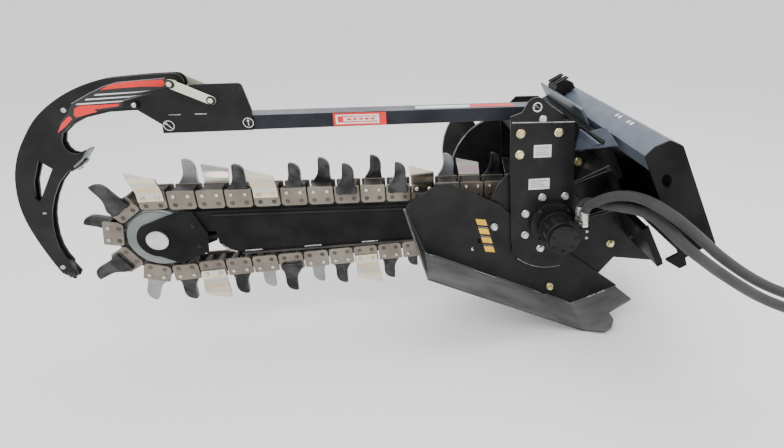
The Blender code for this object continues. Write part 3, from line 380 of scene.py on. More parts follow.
def make_piece(name, bm, look, body=HEAD_FRAME, bevel=0.0, sharp=35.0):
    """Turn a bmesh into a piece with its material that rides on a body."""
    bmesh.ops.recalc_face_normals(bm, faces=bm.faces)
    mesh = bpy.data.meshes.new(name)
    bm.to_mesh(mesh)
    bm.free()
    mesh.materials.append(MATERIALS[look])
    mesh.shade_smooth()
    obj = bpy.data.objects.new(name, mesh)
    bpy.context.scene.collection.objects.link(obj)
    if bevel > 0.0:
        round_edges(obj, bevel)
    else:
        mesh.set_sharp_from_angle(angle=math.radians(sharp))
    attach(obj, body)
    return obj


def round_edges(obj, width):
    """Narrow bevel on every sharp edge, with shading kept flat on the flats."""
    mod = obj.modifiers.new("edge", "BEVEL")
    mod.width = width
    mod.segments = 2
    mod.limit_method = "ANGLE"
    mod.angle_limit = math.radians(38.0)
    obj.modifiers.new("shading", "WEIGHTED_NORMAL")


def arc(centre, radius, start, end, steps):
    """Points on an arc, angles in degrees, both ends included."""
    points = []
    for i in range(steps + 1):
        angle = math.radians(start + (end - start) * i / steps)
        points.append((centre[0] + radius * math.cos(angle), centre[1] + radius * math.sin(angle)))
    return points


def circle(centre, radius, steps=24):
    """A closed round outline."""
    return arc(centre, radius, 0.0, 360.0, steps)[:-1]


def capsule(start, end, radius, steps=8):
    """Outline of a bar with round ends."""
    angle = math.degrees(math.atan2(end[1] - start[1], end[0] - start[0]))
    return (arc(end, radius, angle - 90.0, angle + 90.0, steps)
            + arc(start, radius, angle + 90.0, angle + 270.0, steps))


def add_prism(bm, outline, y_low, y_high, holes=()):
    """Add an outline with holes, made solid between two Y values."""
    loops = [list(outline)] + [list(hole) for hole in holes]
    flat = [point for loop in loops for point in loop]
    low = [bm.verts.new((x, y_low, z)) for x, z in flat]
    high = [bm.verts.new((x, y_high, z)) for x, z in flat]
    caps = [range(len(flat))]
    if holes:
        caps = tessellate_polygon([[Vector((x, z, 0.0)) for x, z in loop] for loop in loops])
    for cap in caps:
        bm.faces.new([low[k] for k in cap])
        bm.faces.new([high[k] for k in cap][::-1])
    first = 0
    for loop in loops:
        for i in range(len(loop)):
            j = (i + 1) % len(loop)
            bm.faces.new((low[first + i], low[first + j], high[first + j], high[first + i]))
        first += len(loop)


def solids(name, shapes, look, body=HEAD_FRAME, bevel=0.0):
    """One piece made of outlines, each with its low and high Y and perhaps its holes."""
    bm = bmesh.new()
    for shape in shapes:
        add_prism(bm, *shape)
    return make_piece(name, bm, look, body, bevel)


def plate(name, outline, y_low, y_high, look, body=HEAD_FRAME, holes=(), bevel=0.0008):
    """A flat piece across Y."""
    return solids(name, [(outline, y_low, y_high, holes)], look, body, bevel)


def add_turned(bm, profile, place, direction, sides=24):
    """Add a solid turned about a line; the profile is (radius, length along it)."""
    turn = Vector(direction).to_track_quat("Z", "Y")
    rings = []
    for radius, along in profile:
        if radius < 1e-6:
            rings.append([bm.verts.new(Vector(place) + turn @ Vector((0.0, 0.0, along)))])
            continue
        rings.append([bm.verts.new(Vector(place) + turn @ Vector((radius * math.cos(a),
                                                                  radius * math.sin(a), along)))
                      for a in (2.0 * math.pi * k / sides for k in range(sides))])
    for a, b in zip(rings, rings[1:]):
        for k in range(sides):
            m = (k + 1) % sides
            corners = []
            for vert in (a[k % len(a)], a[m % len(a)], b[m % len(b)], b[k % len(b)]):
                if vert not in corners:
                    corners.append(vert)
            if len(corners) > 2:
                bm.faces.new(corners)


def add_hex_bolt(bm, place, direction, size, washer=True):
    """Add a hexagon head with a chamfered top, on its flange or washer."""
    if washer:
        add_turned(bm, [(0.0, 0.0), (size * 1.32, 0.0), (size * 1.32, size * 0.16),
                        (size * 1.1, size * 0.34), (0.0, size * 0.34)], place, direction, 20)
    base = 0.3 * size if washer else 0.0
    add_turned(
        bm, [(0.0, base), (size, base), (size, base + size * 0.62), (size * 0.86, base + size * 0.78),
             (0.0, base + size * 0.78)], place, direction, 6)


def add_round_head(bm, place, direction, size):
    """Add a domed bolt head with a driving socket."""
    add_turned(bm, [(0.0, 0.0), (size, 0.0), (size, size * 0.25), (size * 0.8, size * 0.62),
                    (size * 0.45, size * 0.78), (size * 0.42, size * 0.35), (0.0, size * 0.3)],
               place, direction, 14)


def bolts(name, places, y, size, look, body=HEAD_FRAME, head=add_hex_bolt, facing=-1.0):
    """One piece with a bolt head at every (x, z) place on a face across Y."""
    bm = bmesh.new()
    for x, z in places:
        head(bm, (x, y, z), (0.0, facing, 0.0), size)
    return make_piece(name, bm, look, body)


def weld_bead(name, points, radius, body=HEAD_FRAME, look="weld"):
    """A rippled bead of weld along a line of points."""
    path = even_path([Vector(p) for p in points], radius * 0.8)
    bm = bmesh.new()
    add_tube(bm, path, 8, lambda i, angle: radius * (1.0 + 0.14 * math.sin(i * 1.9)))
    return make_piece(name, bm, look, body, sharp=60.0)


def even_path(points, spacing):
    """Evenly spaced points along straight runs."""
    result = [points[0]]
    for a, b in zip(points, points[1:]):
        count = max(1, round((b - a).length / spacing))
        result += [a.lerp(b, k / count) for k in range(1, count + 1)]
    return result


def add_tube(bm, path, sides, radius, uv_name=None):
    """Add a tube along a path; radius is a function of the ring's number and the angle."""
    side = Vector((0.0, 0.0, 1.0)) if abs((path[1] - path[0]).normalized().z) < 0.9 else \
        Vector((1.0, 0.0, 0.0))
    rings = []
    run = 0.0
    lengths = []
    for i, point in enumerate(path):
        ahead = (path[min(i + 1, len(path) - 1)] - path[max(i - 1, 0)]).normalized()
        side = (side - ahead * side.dot(ahead)).normalized()
        other = ahead.cross(side)
        ring = []
        for k in range(sides):
            angle = 2.0 * math.pi * k / sides
            spoke = side * math.cos(angle) + other * math.sin(angle)
            ring.append(bm.verts.new(point + spoke * radius(i, angle)))
        rings.append(ring)
        run += (point - path[i - 1]).length if i else 0.0
        lengths.append(run)
    layer = bm.loops.layers.uv.new(uv_name) if uv_name else None
    around = 2.0 * math.pi * radius(0, 0.0)
    for i, (a, b) in enumerate(zip(rings, rings[1:])):
        for k in range(sides):
            face = bm.faces.new((a[k], a[(k + 1) % sides], b[(k + 1) % sides], b[k]))
            if layer:
                for loop, (u, v) in zip(face.loops, ((k, i), (k + 1, i), (k + 1, i + 1), (k, i + 1))):
                    loop[layer].uv = (u / sides * 4.0, lengths[v] / around * 4.0)
    bm.faces.new(rings[0][::-1])
    bm.faces.new(rings[-1])


def tilted(depth, height):
    """A point of the tilted loader mount as (x, z)."""
    return (depth * math.cos(MOUNT_TILT) - height * math.sin(MOUNT_TILT),
            depth * math.sin(MOUNT_TILT) + height * math.cos(MOUNT_TILT))


# -------- hoses

HOSE_DIAMETER = 0.03
HOSES = {
    "a": [(-0.205, -0.176, -0.1848), (-0.205, -0.176, -0.16), (-0.203, -0.196, -0.13),
          (-0.196, -0.228, -0.104), (-0.186, -0.275, -0.073), (-0.174, -0.34, -0.039),
          (-0.161, -0.42, -0.011), (-0.146, -0.495, 0.0), (-0.11, -0.545, -0.018),
          (-0.061, -0.56, -0.056), (-0.014, -0.562, -0.096), (0.041, -0.56, -0.142),
          (0.122, -0.56, -0.2), (0.194, -0.56, -0.243), (0.262, -0.56, -0.276),
          (0.335, -0.56, -0.306)],
    "b": [(-0.205, -0.134, -0.1848), (-0.205, -0.134, -0.16), (-0.192, -0.146, -0.136),
          (-0.172, -0.184, -0.124), (-0.16, -0.24, -0.11), (-0.152, -0.32, -0.084),
          (-0.142, -0.41, -0.056), (-0.134, -0.495, -0.042), (-0.11, -0.548, -0.062),
          (-0.076, -0.577, -0.094), (-0.03, -0.588, -0.13), (0.024, -0.59, -0.17),
          (0.108, -0.592, -0.227), (0.178, -0.594, -0.268), (0.244, -0.6, -0.298),
          (0.31, -0.607, -0.326)],
}


def smooth_route(points, spacing):
    """Evenly spaced points on a Catmull-Rom curve through the route."""
    knots = [Vector(p) for p in points]
    knots = [knots[0] * 2 - knots[1]] + knots + [knots[-1] * 2 - knots[-2]]
    fine = []
    for a, b, c, d in zip(knots, knots[1:], knots[2:], knots[3:]):
        for k in range(20):
            t = k / 20.0
            fine.append(0.5 * ((2 * b) + (c - a) * t + (2 * a - 5 * b + 4 * c - d) * t ** 2
                               + (3 * b - a - 3 * c + d) * t ** 3))
    fine.append(knots[-2])
    total = sum((q - p).length for p, q in zip(fine, fine[1:]))
    count = round(total / spacing)
    result, run, index = [fine[0]], 0.0, 1
    for p, q in zip(fine, fine[1:]):
        step = (q - p).length
        while index < count and run + step >= total * index / count:
            result.append(p.lerp(q, (total * index / count - run) / step))
            index += 1
        run += step
    return result + [fine[-1]]


def make_hose(name, route):
    """Sleeved hose with its crimped ferrule at the motor and its quick coupler."""
    path = smooth_route(route, 0.004)
    radius = HOSE_DIAMETER / 2.0
    bm = bmesh.new()
    add_tube(bm, path, 28, lambda i, angle: radius * (1.0 - 0.02 * math.sin(3 * angle + i * 0.11) ** 2),
             "weave")
    hose = make_piece("sleeved_hose_" + name, bm, "sleeve")
    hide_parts("hose_" + name)
    bm = bmesh.new()
    start = path[0] + Vector((0.0, 0.0, 0.0008))
    crimp = [(0.015, 0.0), (0.0178, 0.0)]
    for ring in range(4):
        base = 0.003 + 0.006 * ring
        crimp += [(0.0178, base), (0.0166, base + 0.001), (0.0166, base + 0.0035),
                  (0.0178, base + 0.0045)]
    crimp += [(0.0172, 0.03), (0.0152, 0.031)]
    add_turned(bm, crimp, start, (0.0, 0.0, 1.0), 24)
    ferrule = make_piece("hose_ferrule_" + name, bm, "zinc")
    ahead = (path[-1] - path[-3]).normalized()
    bm = bmesh.new()
    profile = [(0.0, 0.0003), (0.016, 0.0003), (0.016, 0.006), (0.015, 0.007),
               (0.015, 0.012), (0.016, 0.013), (0.016, 0.03), (0.0195, 0.033)]
    for ring in range(5):
        base = 0.036 + 0.006 * ring
        profile += [(0.0208, base), (0.0208, base + 0.0035), (0.0198, base + 0.0045)]
    profile += [(0.0205, 0.07), (0.018, 0.0745), (0.012, 0.0745), (0.011, 0.06), (0.0, 0.06)]
    add_turned(bm, profile, path[-1], ahead, 28)
    coupler = make_piece("quick_coupler_" + name, bm, "zinc")
    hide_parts("coupler_" + name)


# -------- CAD nodes that stay

NODE_LOOKS = {
    # painted shade: these parts take the darker copy of the black paint because they lie in shade
    "painted_shade_black": ("boom_beam", "nose_yoke_near", "nose_yoke_far", "end_panel_near",
                   "end_panel_far", "loader_plate", "carriage_plate", "carriage_beam",
                   "bottom_rail", "side_plate_far", "lock_bracket", "bar_rest"),
    "blue": ("top_rail", "carriage_rail", "gusset_upper"),
    "bar": ("crumber_bar",),
    "scuffed": ("skid_foot", "carriage_clip"),
    "ring": ("nose_wheel",),
    "dark": ("head_sprocket", "head_shaft", "tension_screw"),
    "tooth": ("hook_tip",),
    "zinc": ("nose_axle", "fitting_a", "fitting_b", "crumber_pin", "skid_lock_bolt"),
    "yellow_zinc": ("skid_pivot_bolt",),
    "strap": ("hook_link_near", "hook_link_far"),
}


def dress_nodes():
    """Give every CAD node its material and a narrow bevel on its edges."""
    look_of = {node: look for look, nodes in NODE_LOOKS.items() for node in nodes}
    for name, obj in frame["nodes"].items():
        mat = MATERIALS[look_of.get(name, "black")]
        if not obj.data.materials:
            obj.data.materials.append(mat)
        for slot in obj.material_slots:
            slot.material = mat
        obj.data.shade_smooth()
        weld = obj.modifiers.new("joined", "WELD")
        weld.merge_threshold = 0.00001
        flat = obj.modifiers.new("flats", "DECIMATE")
        flat.decimate_type = "DISSOLVE"
        flat.angle_limit = math.radians(0.5)
        round_edges(obj, 0.0011)


# -------- digging chain

def ring_point(centre, radius, angle):
    """Point on a circle and its outward normal."""
    normal = (math.cos(angle), math.sin(angle))
    return (centre[0] + radius * normal[0], centre[1] + radius * normal[1]), normal


def loop_point(s):
    """Point on the chain's pitch line at length s from the head's upper tangent point."""
    distance = HEAD[0] - NOSE[0]
    lean = math.asin((IDLER_RADIUS - SPROCKET_RADIUS) / distance)
    straight = distance * math.cos(lean)
    head_arc = SPROCKET_RADIUS * (math.pi - 2.0 * lean)
    nose_arc = IDLER_RADIUS * (math.pi + 2.0 * lean)
    s %= head_arc + nose_arc + 2.0 * straight
    upper, lower = math.pi / 2.0 - lean, -math.pi / 2.0 + lean
    if s < head_arc:
        return ring_point(HEAD, SPROCKET_RADIUS, upper - s / SPROCKET_RADIUS)[0]
    s -= head_arc
    if s < straight:
        start, normal = ring_point(HEAD, SPROCKET_RADIUS, lower)
        return start[0] + normal[1] * s, start[1] - normal[0] * s
    s -= straight
    if s < nose_arc:
        return ring_point(NOSE, IDLER_RADIUS, lower - s / IDLER_RADIUS)[0]
    s -= nose_arc
    start, normal = ring_point(NOSE, IDLER_RADIUS, upper)
    return start[0] + normal[1] * s, start[1] - normal[0] * s


def chain_pins():
    """Places of all the pins, one pitch apart as the crow flies."""
    length = 0.0
    pins = [loop_point(0.0)]
    for _ in range(CHAIN_PINS - 1):
        step = PITCH
        for _ in range(6):
            step += PITCH - math.dist(pins[-1], loop_point(length + step))
        length += step
        pins.append(loop_point(length))
    return pins


PINS = chain_pins()
LINKS = CHAIN_PINS // 2
CUPS = {4: -1, 10: -1, 16: -1, 22: -1, 26: -1, 32: -1, 7: 1, 24: 1, 34: 1, 36: 1}
TINTED_CUPS = (24, 34, 7, 36)
SHARK_PLACES = {
    (-0.052, -0.037): (0, 2, 13, 19, 21, 29, 31),
    (-0.036, -0.016): (5, 9, 11, 15, 17, 18, 25, 27, 37),
    (-0.008, 0.008): (3, 12, 14),
    (0.016, 0.036): (1, 6, 20, 28),
    (0.036, 0.052): (8, 23, 30, 33, 35),
}
GREY_SHARKS = (12, 14, 18, 23, 33)


def link_frame(index):
    """Middle, travel direction and outward normal of an outer link."""
    first, last = PINS[(2 * index + 1) % CHAIN_PINS], PINS[(2 * index + 2) % CHAIN_PINS]
    tangent = ((last[0] - first[0]) / PITCH, (last[1] - first[1]) / PITCH)
    middle = ((first[0] + last[0]) / 2.0, (first[1] + last[1]) / 2.0)
    return middle, tangent, (-tangent[1], tangent[0])


def on_link(points, index):
    """Points along a link's travel and normal, placed in the plane."""
    middle, tangent, normal = link_frame(index)
    return [(middle[0] + u * tangent[0] + v * normal[0], middle[1] + u * tangent[1] + v * normal[1])
            for u, v in points]


def side_pair(inner, outer):
    """Y ranges of two plates mirrored about the chain's middle plane."""
    return (CHAIN_Y - outer, CHAIN_Y - inner), (CHAIN_Y + inner, CHAIN_Y + outer)


def link_plate(index):
    """Outline of an outer side plate: square shoulders above, round corners below."""
    low = -0.012 if index in TURN_LINKS else -0.016
    half = arc((LINK_HALF - LINK_CORNER, low + LINK_CORNER), LINK_CORNER, -90.0, 0.0, 5)
    half += [(LINK_HALF, LINK_TOP - 0.0025), (LINK_HALF - 0.0025, LINK_TOP)]
    return on_link([(-u, v) for u, v in half[::-1]] + half, index)


def make_chain():
    """Outer and inner links, rollers, pins, bolts and cutters of the whole loop."""
    nose = [i for i in range(LINKS) if link_frame(i)[0][0] < NOSE[0] + 0.1]
    sections = {
        "chain_head_wrap": range(3),
        "chain_lower_run": range(3, nose[0]),
        "chain_nose_wrap": nose,
        "chain_upper_run": range(nose[-1] + 1, LINKS),
    }
    for section, links in sections.items():
        shapes = [(link_plate(index), *y_range) for index in links
                  for y_range in side_pair(LINK_IN, LINK_OUT)]
        plates = solids(section + "_plates", shapes, "link", bevel=0.0009)
        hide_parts(section)
        shapes = []
        for index in links:
            first, last = PINS[(2 * index + 2) % CHAIN_PINS], PINS[(2 * index + 3) % CHAIN_PINS]
            for y_range in side_pair(0.0225, 0.0305):
                shapes.append((capsule(first, last, 0.0125, 6), *y_range))
            bridge = on_link([(-0.03, 0.036), (0.03, 0.036), (0.03, 0.043), (-0.03, 0.043)], index)
            shapes.append((bridge, CHAIN_Y - LINK_IN, CHAIN_Y + LINK_IN))
        solids(section + "_inner_links", shapes, "dark", bevel=0.0008)
        make_pins(section, links)
        make_plate_bolts(section, links)
        for index in links:
            make_tooth(index)


def make_pins(section, links):
    """Pins with peened heads, and bushings where the sprocket leaves room."""
    bm = bmesh.new()
    for index in links:
        for pin in (2 * index + 1, 2 * index + 2):
            x, z = PINS[pin % CHAIN_PINS]
            for sign in (-1.0, 1.0):
                add_turned(bm, [(0.0, 0.02), (0.0062, 0.02), (0.0062, LINK_OUT),
                                (0.007, LINK_OUT + 0.0004), (0.006, LINK_OUT + 0.0016),
                                (0.0, LINK_OUT + 0.002)], (x, CHAIN_Y, z), (0.0, sign, 0.0), 14)
            if pin % CHAIN_PINS not in SPROCKET_PINS:
                add_turned(bm, [(0.0, -0.022), (0.0115, -0.022), (0.0115, 0.022), (0.0, 0.022)],
                           (x, CHAIN_Y, z), (0.0, 1.0, 0.0), 16)
    make_piece(section + "_pins", bm, "pin")


def make_plate_bolts(section, links):
    """Two bright bolts on each side plate."""
    bm = bmesh.new()
    for index in links:
        proud = {-1: 0.0, 1: 0.0}
        if index in CUPS:
            proud[CUPS[index]] = 0.0072
        if index in SHARK_PLACES[(-0.052, -0.037)]:
            proud[-1] = 0.006
        for sign, extra in proud.items():
            for x, z in on_link([(-0.021, 0.029), (0.021, 0.029)], index):
                add_round_head(bm, (x, CHAIN_Y + sign * (LINK_OUT + extra), z),
                               (0.0, float(sign), 0.0), 0.0068)
    make_piece(section + "_bolts", bm, "zinc")


def make_tooth(index):
    """The cutter of one outer link, with its base where the base shows."""
    name = "cutter_%02d" % index
    if index in CUPS:
        make_cup(name, index, CUPS[index])
        return
    (low, high), _ = next(item for item in SHARK_PLACES.items() if index in item[1])
    look = "tooth_grey" if index in GREY_SHARKS else "tooth"
    foot = 0.02 if low < -0.05 or low > 0.03 else 0.04
    outline = [(-0.033, foot), (-0.028, 0.048), (-0.019, 0.06), (-0.0125, 0.072), (-0.009, 0.088),
               (-0.008, 0.104), (-0.006, 0.125), (0.004, 0.1245), (0.014, 0.12), (0.022, 0.113),
               (0.027, 0.103), (0.0285, 0.09), (0.0275, 0.074), (0.027, 0.058), (0.033, foot)]
    tooth = plate(name, on_link(outline, index), CHAIN_Y + low, CHAIN_Y + high, look,
                  bevel=0.0022)
    tooth.modifiers["edge"].segments = 3
    if low < -0.05:
        lobes = (
            arc((-0.021, 0.029), 0.0135, 170.0, 300.0, 7) + arc((0.021, 0.029), 0.0135, 240.0, 370.0, 7)
            + [(0.033, 0.046), (-0.033, 0.046)])
        plate(name + "_base", on_link(lobes, index), CHAIN_Y - LINK_OUT - 0.006, CHAIN_Y - LINK_OUT
              - 0.0002, "tooth", bevel=0.0012)


def make_cup(name, index, side):
    """Folded cup: bolted base, round fold and a lip that leans outwards."""
    middle, tangent, normal = link_frame(index)
    tall = 1.0 if side < 0 else 0.72
    rows = [(0.0402, 0.0165, 0.0), (0.0402, 0.044, 0.0), (0.0412, 0.05, 0.1), (0.044, 0.057, 0.2)]
    rows += [(across, 0.057 + (v - 0.057) * tall, lean)
             for across, v, lean in ((0.048, 0.07, 0.4), (0.053, 0.085, 0.7),
                                     (0.0565, 0.1, 0.9), (0.058, 0.118, 1.0))]
    bm = bmesh.new()
    grids = []
    for shift in (0.0, 0.0068):
        grid = []
        for across, v, lean in rows:
            line = []
            for k in range(5):
                part = k / 4.0
                u = (-0.037 - 0.008 * lean) * (1.0 - part) + (0.037 - 0.001 * lean) * part
                height = v - max(0.0, v - 0.062) * 0.43 * part
                bow = 0.0025 * lean * math.sin(math.pi * part)
                y = CHAIN_Y + side * (across + shift + bow)
                line.append(bm.verts.new((middle[0] + u * tangent[0] + height * normal[0], y,
                                          middle[1] + u * tangent[1] + height * normal[1])))
            grid.append(line)
        grids.append(grid)
    front, back = grids
    for r in range(len(rows) - 1):
        for k in range(4):
            bm.faces.new((front[r][k], front[r][k + 1], front[r + 1][k + 1], front[r + 1][k]))
            bm.faces.new((back[r][k], back[r + 1][k], back[r + 1][k + 1], back[r][k + 1]))
    border = ([(0, k) for k in range(5)] + [(r, 4) for r in range(1, len(rows))]
              + [(len(rows) - 1, k) for k in (3, 2, 1, 0)]
              + [(r, 0) for r in range(len(rows) - 2, 0, -1)])
    for (r, k), (s, m) in zip(border, border[1:] + border[:1]):
        bm.faces.new((front[r][k], back[r][k], back[s][m], front[s][m]))
    look = "tinted" if index in TINTED_CUPS else "gold"
    make_piece(name, bm, look, bevel=0.001)


def make_nose():
    """Axle plug, slide strips, boom welds and yoke bolts."""
    bm = bmesh.new()
    add_turned(bm, [(0.0, 0.0), (0.03, 0.0), (0.03, 0.001), (0.01, 0.0022), (0.009, 0.0005),
                    (0.0, 0.0)], (NOSE[0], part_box("nose_axle")[0].y, NOSE[1]), (0.0, -1.0, 0.0), 32)
    make_piece("axle_plug", bm, "zinc")
    strip = [(-1.395, -0.164), (-0.48, -0.194), (-0.48, -0.2), (-1.395, -0.17)]
    plate("boom_top_strip", strip, BOOM_FACE - 0.006, BOOM_FACE - 0.0002, "black")
    flange = [(-1.33, -0.306), (-0.42, -0.304), (-0.42, -0.311), (-1.322, -0.313)]
    plate("boom_wear_strip", flange, BOOM_FACE - 0.01, CHAIN_Y + 0.045, "dark")
    weld_bead(
        "boom_nose_weld", [(-1.386, BOOM_FACE - 0.001, -0.276), (-1.366, BOOM_FACE - 0.001, -0.296),
                           (-1.345, BOOM_FACE - 0.001, -0.3045)], 0.0035)
    for i, start in enumerate((-1.32, -1.13, -0.94, -0.75, -0.56)):
        weld_bead("boom_weld_%d" % i, [(start, BOOM_FACE - 0.001, -0.3035),
                                       (start + 0.055, BOOM_FACE - 0.001, -0.3032)], 0.0032)
    bolts("yoke_bolts", [(-1.452, -0.196), (-1.45, -0.268)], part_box("nose_yoke_near")[0].y,
          0.0075, "black")


# -------- head

def ring_of(centre, radius, count, start):
    """Places evenly spaced round a circle."""
    return arc(centre, radius, start, start + 360.0 * (count - 1) / count, count - 1)


def make_head():
    """Bolts, plates, motor details and welds of the head frame."""
    frame_bolts = [(-0.401, 0.083), (-0.276, 0.082), (-0.403, 0.014)]
    bolts("head_bolts", frame_bolts, HEAD_FACE, 0.0115, "yellow_zinc")
    bolts("side_bolts", [(-0.195, -0.028), (-0.046, -0.352)], SIDE_FACE, 0.0115, "yellow_zinc")
    hub = ring_of(HEAD, 0.105, 8, 22.5)
    bolts("hub_bolts", [p for p in hub if p[0] < -0.18], HEAD_FACE, 0.011, "zinc")
    for name, (x0, z0, x1, z1) in (("upper", (-0.357, 0.002, -0.298, 0.044)),
                                   ("lower", (-0.371, -0.109, -0.299, -0.071))):
        label = [(x0, z0), (x1, z0), (x1, z1), (x0, z1)]
        plate("data_plate_" + name, label, HEAD_FACE - 0.0009, HEAD_FACE - 0.0001, "white", bevel=0.0002)
        rows = []
        for row in range(4):
            z = z0 + (z1 - z0) * (0.22 + 0.18 * row)
            end = x0 + (x1 - x0) * (0.88 - 0.13 * (row % 3))
            line = [(x0 + 0.006, z), (end, z), (end, z + 0.0022), (x0 + 0.006, z + 0.0022)]
            rows.append((line, HEAD_FACE - 0.0012, HEAD_FACE - 0.0009))
        solids("data_rows_" + name, rows, "grey")
    weld_bead("head_fold", [(-0.43, HEAD_FACE + 0.0008, 0.1195), (-0.225, HEAD_FACE + 0.0008, 0.115)],
              0.0026)
    make_motor()
    centre = (-0.35, 0.166)
    plate("lifting_eye_rim", circle(centre, 0.0155), HEAD_FACE - 0.0016, HEAD_FACE - 0.0001,
          "zinc", holes=[circle(centre, 0.0112)[::-1]], bevel=0.0004)
    seam = [(x, HEAD_FACE + 0.006, z) for x, z in arc(HEAD, 0.18, 228.0, 282.0, 16)]
    weld_bead("head_plate_weld", seam, 0.0022)
    bolts("pin_retainer", [(-0.33, 0.1275)], HEAD_FACE, 0.0095, "zinc")


def make_motor():
    """Motor casing details: casting ribs, cover bolts on the end, flange bolts and port fittings."""
    low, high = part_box("motor_body")
    x, z = HEAD
    bm = bmesh.new()
    for y, radius, width in ((high.y - 0.022, 0.0615, 0.01), (low.y + 0.02, 0.0585, 0.006)):
        add_turned(bm, [(0.05, 0.0), (radius - 0.001, 0.0), (radius, 0.001), (radius, width - 0.001),
                        (radius - 0.001, width), (0.05, width)], (x, y, z), (0.0, -1.0, 0.0), 40)
    make_piece("motor_ribs", bm, "black")
    cover = ring_of(HEAD, 0.04, 7, 10.0)
    bolts("motor_cover_bolts", cover, low.y, 0.0058, "black", head=add_round_head)
    bolts("motor_flange_bolts", ring_of(HEAD, 0.072, 4, 45.0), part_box("motor_ring")[0].y, 0.007,
          "black")
    bm = bmesh.new()
    for route in HOSES.values():
        px, py, pz = route[0]
        add_turned(bm, [(0.0, -0.0225), (0.0165, -0.0225), (0.0175, -0.0215), (0.0175, -0.0105),
                        (0.0165, -0.0095), (0.0, -0.0095)], (px, py, pz), (0.0, 0.0, 1.0), 6)
        add_turned(bm, [(0.0, -0.009), (0.016, -0.009), (0.016, -0.0008), (0.0, -0.0008)],
                   (px, py, pz), (0.0, 0.0, 1.0), 6)
    make_piece("port_nuts", bm, "zinc")
    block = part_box("port_block")
    bolts("port_block_bolts", [(block[1].x - 0.01, block[0].z + 0.012),
                               (block[1].x - 0.01, block[1].z - 0.01)], block[0].y, 0.0052,
          "zinc", head=add_round_head)


def make_auger():
    """Spoil auger with a fine helical flight, its worn rim and the tube's end cap."""
    low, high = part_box("auger")
    bm = bmesh.new()
    rim = []
    rows = []
    for i in range(AUGER_STEPS + 1):
        turn = AUGER_TURN * i / AUGER_STEPS
        angle = math.radians(AUGER_START - turn)
        y = AUGER_Y + AUGER_LEAD * turn / 360.0
        row = []
        for reach, shift in ((AUGER_TUBE - 0.004, 0.0), (AUGER_RADIUS - 0.0004, 0.0),
                             (AUGER_RADIUS - 0.0004, FLIGHT_THICK), (AUGER_TUBE - 0.004, FLIGHT_THICK)):
            row.append(bm.verts.new((AUGER_AXIS[0] + reach * math.cos(angle), y + shift,
                                     AUGER_AXIS[1] + reach * math.sin(angle))))
        rows.append(row)
        rim.append(Vector((AUGER_AXIS[0] + (AUGER_RADIUS - 0.003) * math.cos(angle), y + 0.0008,
                           AUGER_AXIS[1] + (AUGER_RADIUS - 0.003) * math.sin(angle))))
    for a, b in zip(rows, rows[1:]):
        for k in range(4):
            bm.faces.new((a[k], a[(k + 1) % 4], b[(k + 1) % 4], b[k]))
    bm.faces.new(rows[0])
    bm.faces.new(rows[-1][::-1])
    add_turned(bm, [(0.0, low.y), (0.02, low.y), (0.02, 0.197), (AUGER_TUBE - 0.001, 0.197),
                    (AUGER_TUBE, 0.198), (AUGER_TUBE, high.y - 0.001), (AUGER_TUBE - 0.001, high.y),
                    (0.0, high.y)], (AUGER_AXIS[0], 0.0, AUGER_AXIS[1]), (0.0, 1.0, 0.0), 36)
    flight = make_piece("auger_flight", bm, "black", "auger_rotor")
    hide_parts("auger")
    bm = bmesh.new()
    add_tube(bm, rim, 6, lambda i, angle: 0.0024)
    make_piece("auger_worn_rim", bm, "weld", "auger_rotor")
    bolts("auger_end_bolts", ring_of(AUGER_AXIS, 0.026, 3, 90.0), high.y, 0.006, "zinc",
          "auger_rotor", facing=1.0)


# -------- skid, crumber and hook

def make_skid():
    """Yellow depth marks, weld beads and bolt heads of the skid shoe."""
    marks = [([(x - 0.02, z + 0.014), (x + 0.014, z + 0.008), (x + 0.02, z - 0.014),
               (x - 0.014, z - 0.008)], SKID_FACE - 0.0007, SKID_FACE - 0.0001)
             for x, z in ((-0.529, -0.223), (-0.52, -0.258), (-0.511, -0.293), (-0.502, -0.329))]
    solids("depth_marks", marks, "yellow", "skid")
    lines = [([(x - 0.017, z + 0.003), (x + 0.017, z - 0.004), (x + 0.017, z - 0.0065),
               (x - 0.017, z + 0.0005)], SKID_FACE - 0.0006, SKID_FACE - 0.0001)
             for x, z in ((-0.5245, -0.2405), (-0.5155, -0.2755), (-0.5065, -0.311))]
    solids("depth_mark_lines", lines, "grey", "skid")
    inner = SKID_FACE - 0.0005
    seams = {
        "tail": [(-0.176, inner, -0.5885), (-0.15, inner, -0.581), (-0.01, inner, -0.5325)],
        "front": [(-0.7815, inner, -0.156), (-0.727, inner, -0.3205)],
        "sole_a": [(-0.7, inner, -0.3345), (-0.56, inner, -0.4045)],
        "sole_b": [(-0.48, inner, -0.4445), (-0.34, inner, -0.514)],
        "sole_c": [(-0.29, inner, -0.539), (-0.205, inner, -0.5815)],
    }
    for name, line in seams.items():
        weld_bead("skid_seam_" + name, line, 0.0026, "skid", "scuffed")
    for name, start in (("a", 0.42), ("b", 0.7)):
        first = Vector((-0.15, inner - 0.001, -0.58))
        last = Vector((-0.01, inner - 0.001, -0.5315))
        weld_bead("skid_bright_weld_" + name, [first.lerp(last, start - 0.22),
                                               first.lerp(last, start - 0.02)], 0.0036, "skid")
    bolts("skid_lock_head", [(-0.485, -0.241)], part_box("skid_lock_bolt")[0].y, 0.0085, "zinc")
    bolts("skid_pivot_head", [SKID_PIVOT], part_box("skid_pivot_bolt")[0].y, 0.01, "yellow_zinc")


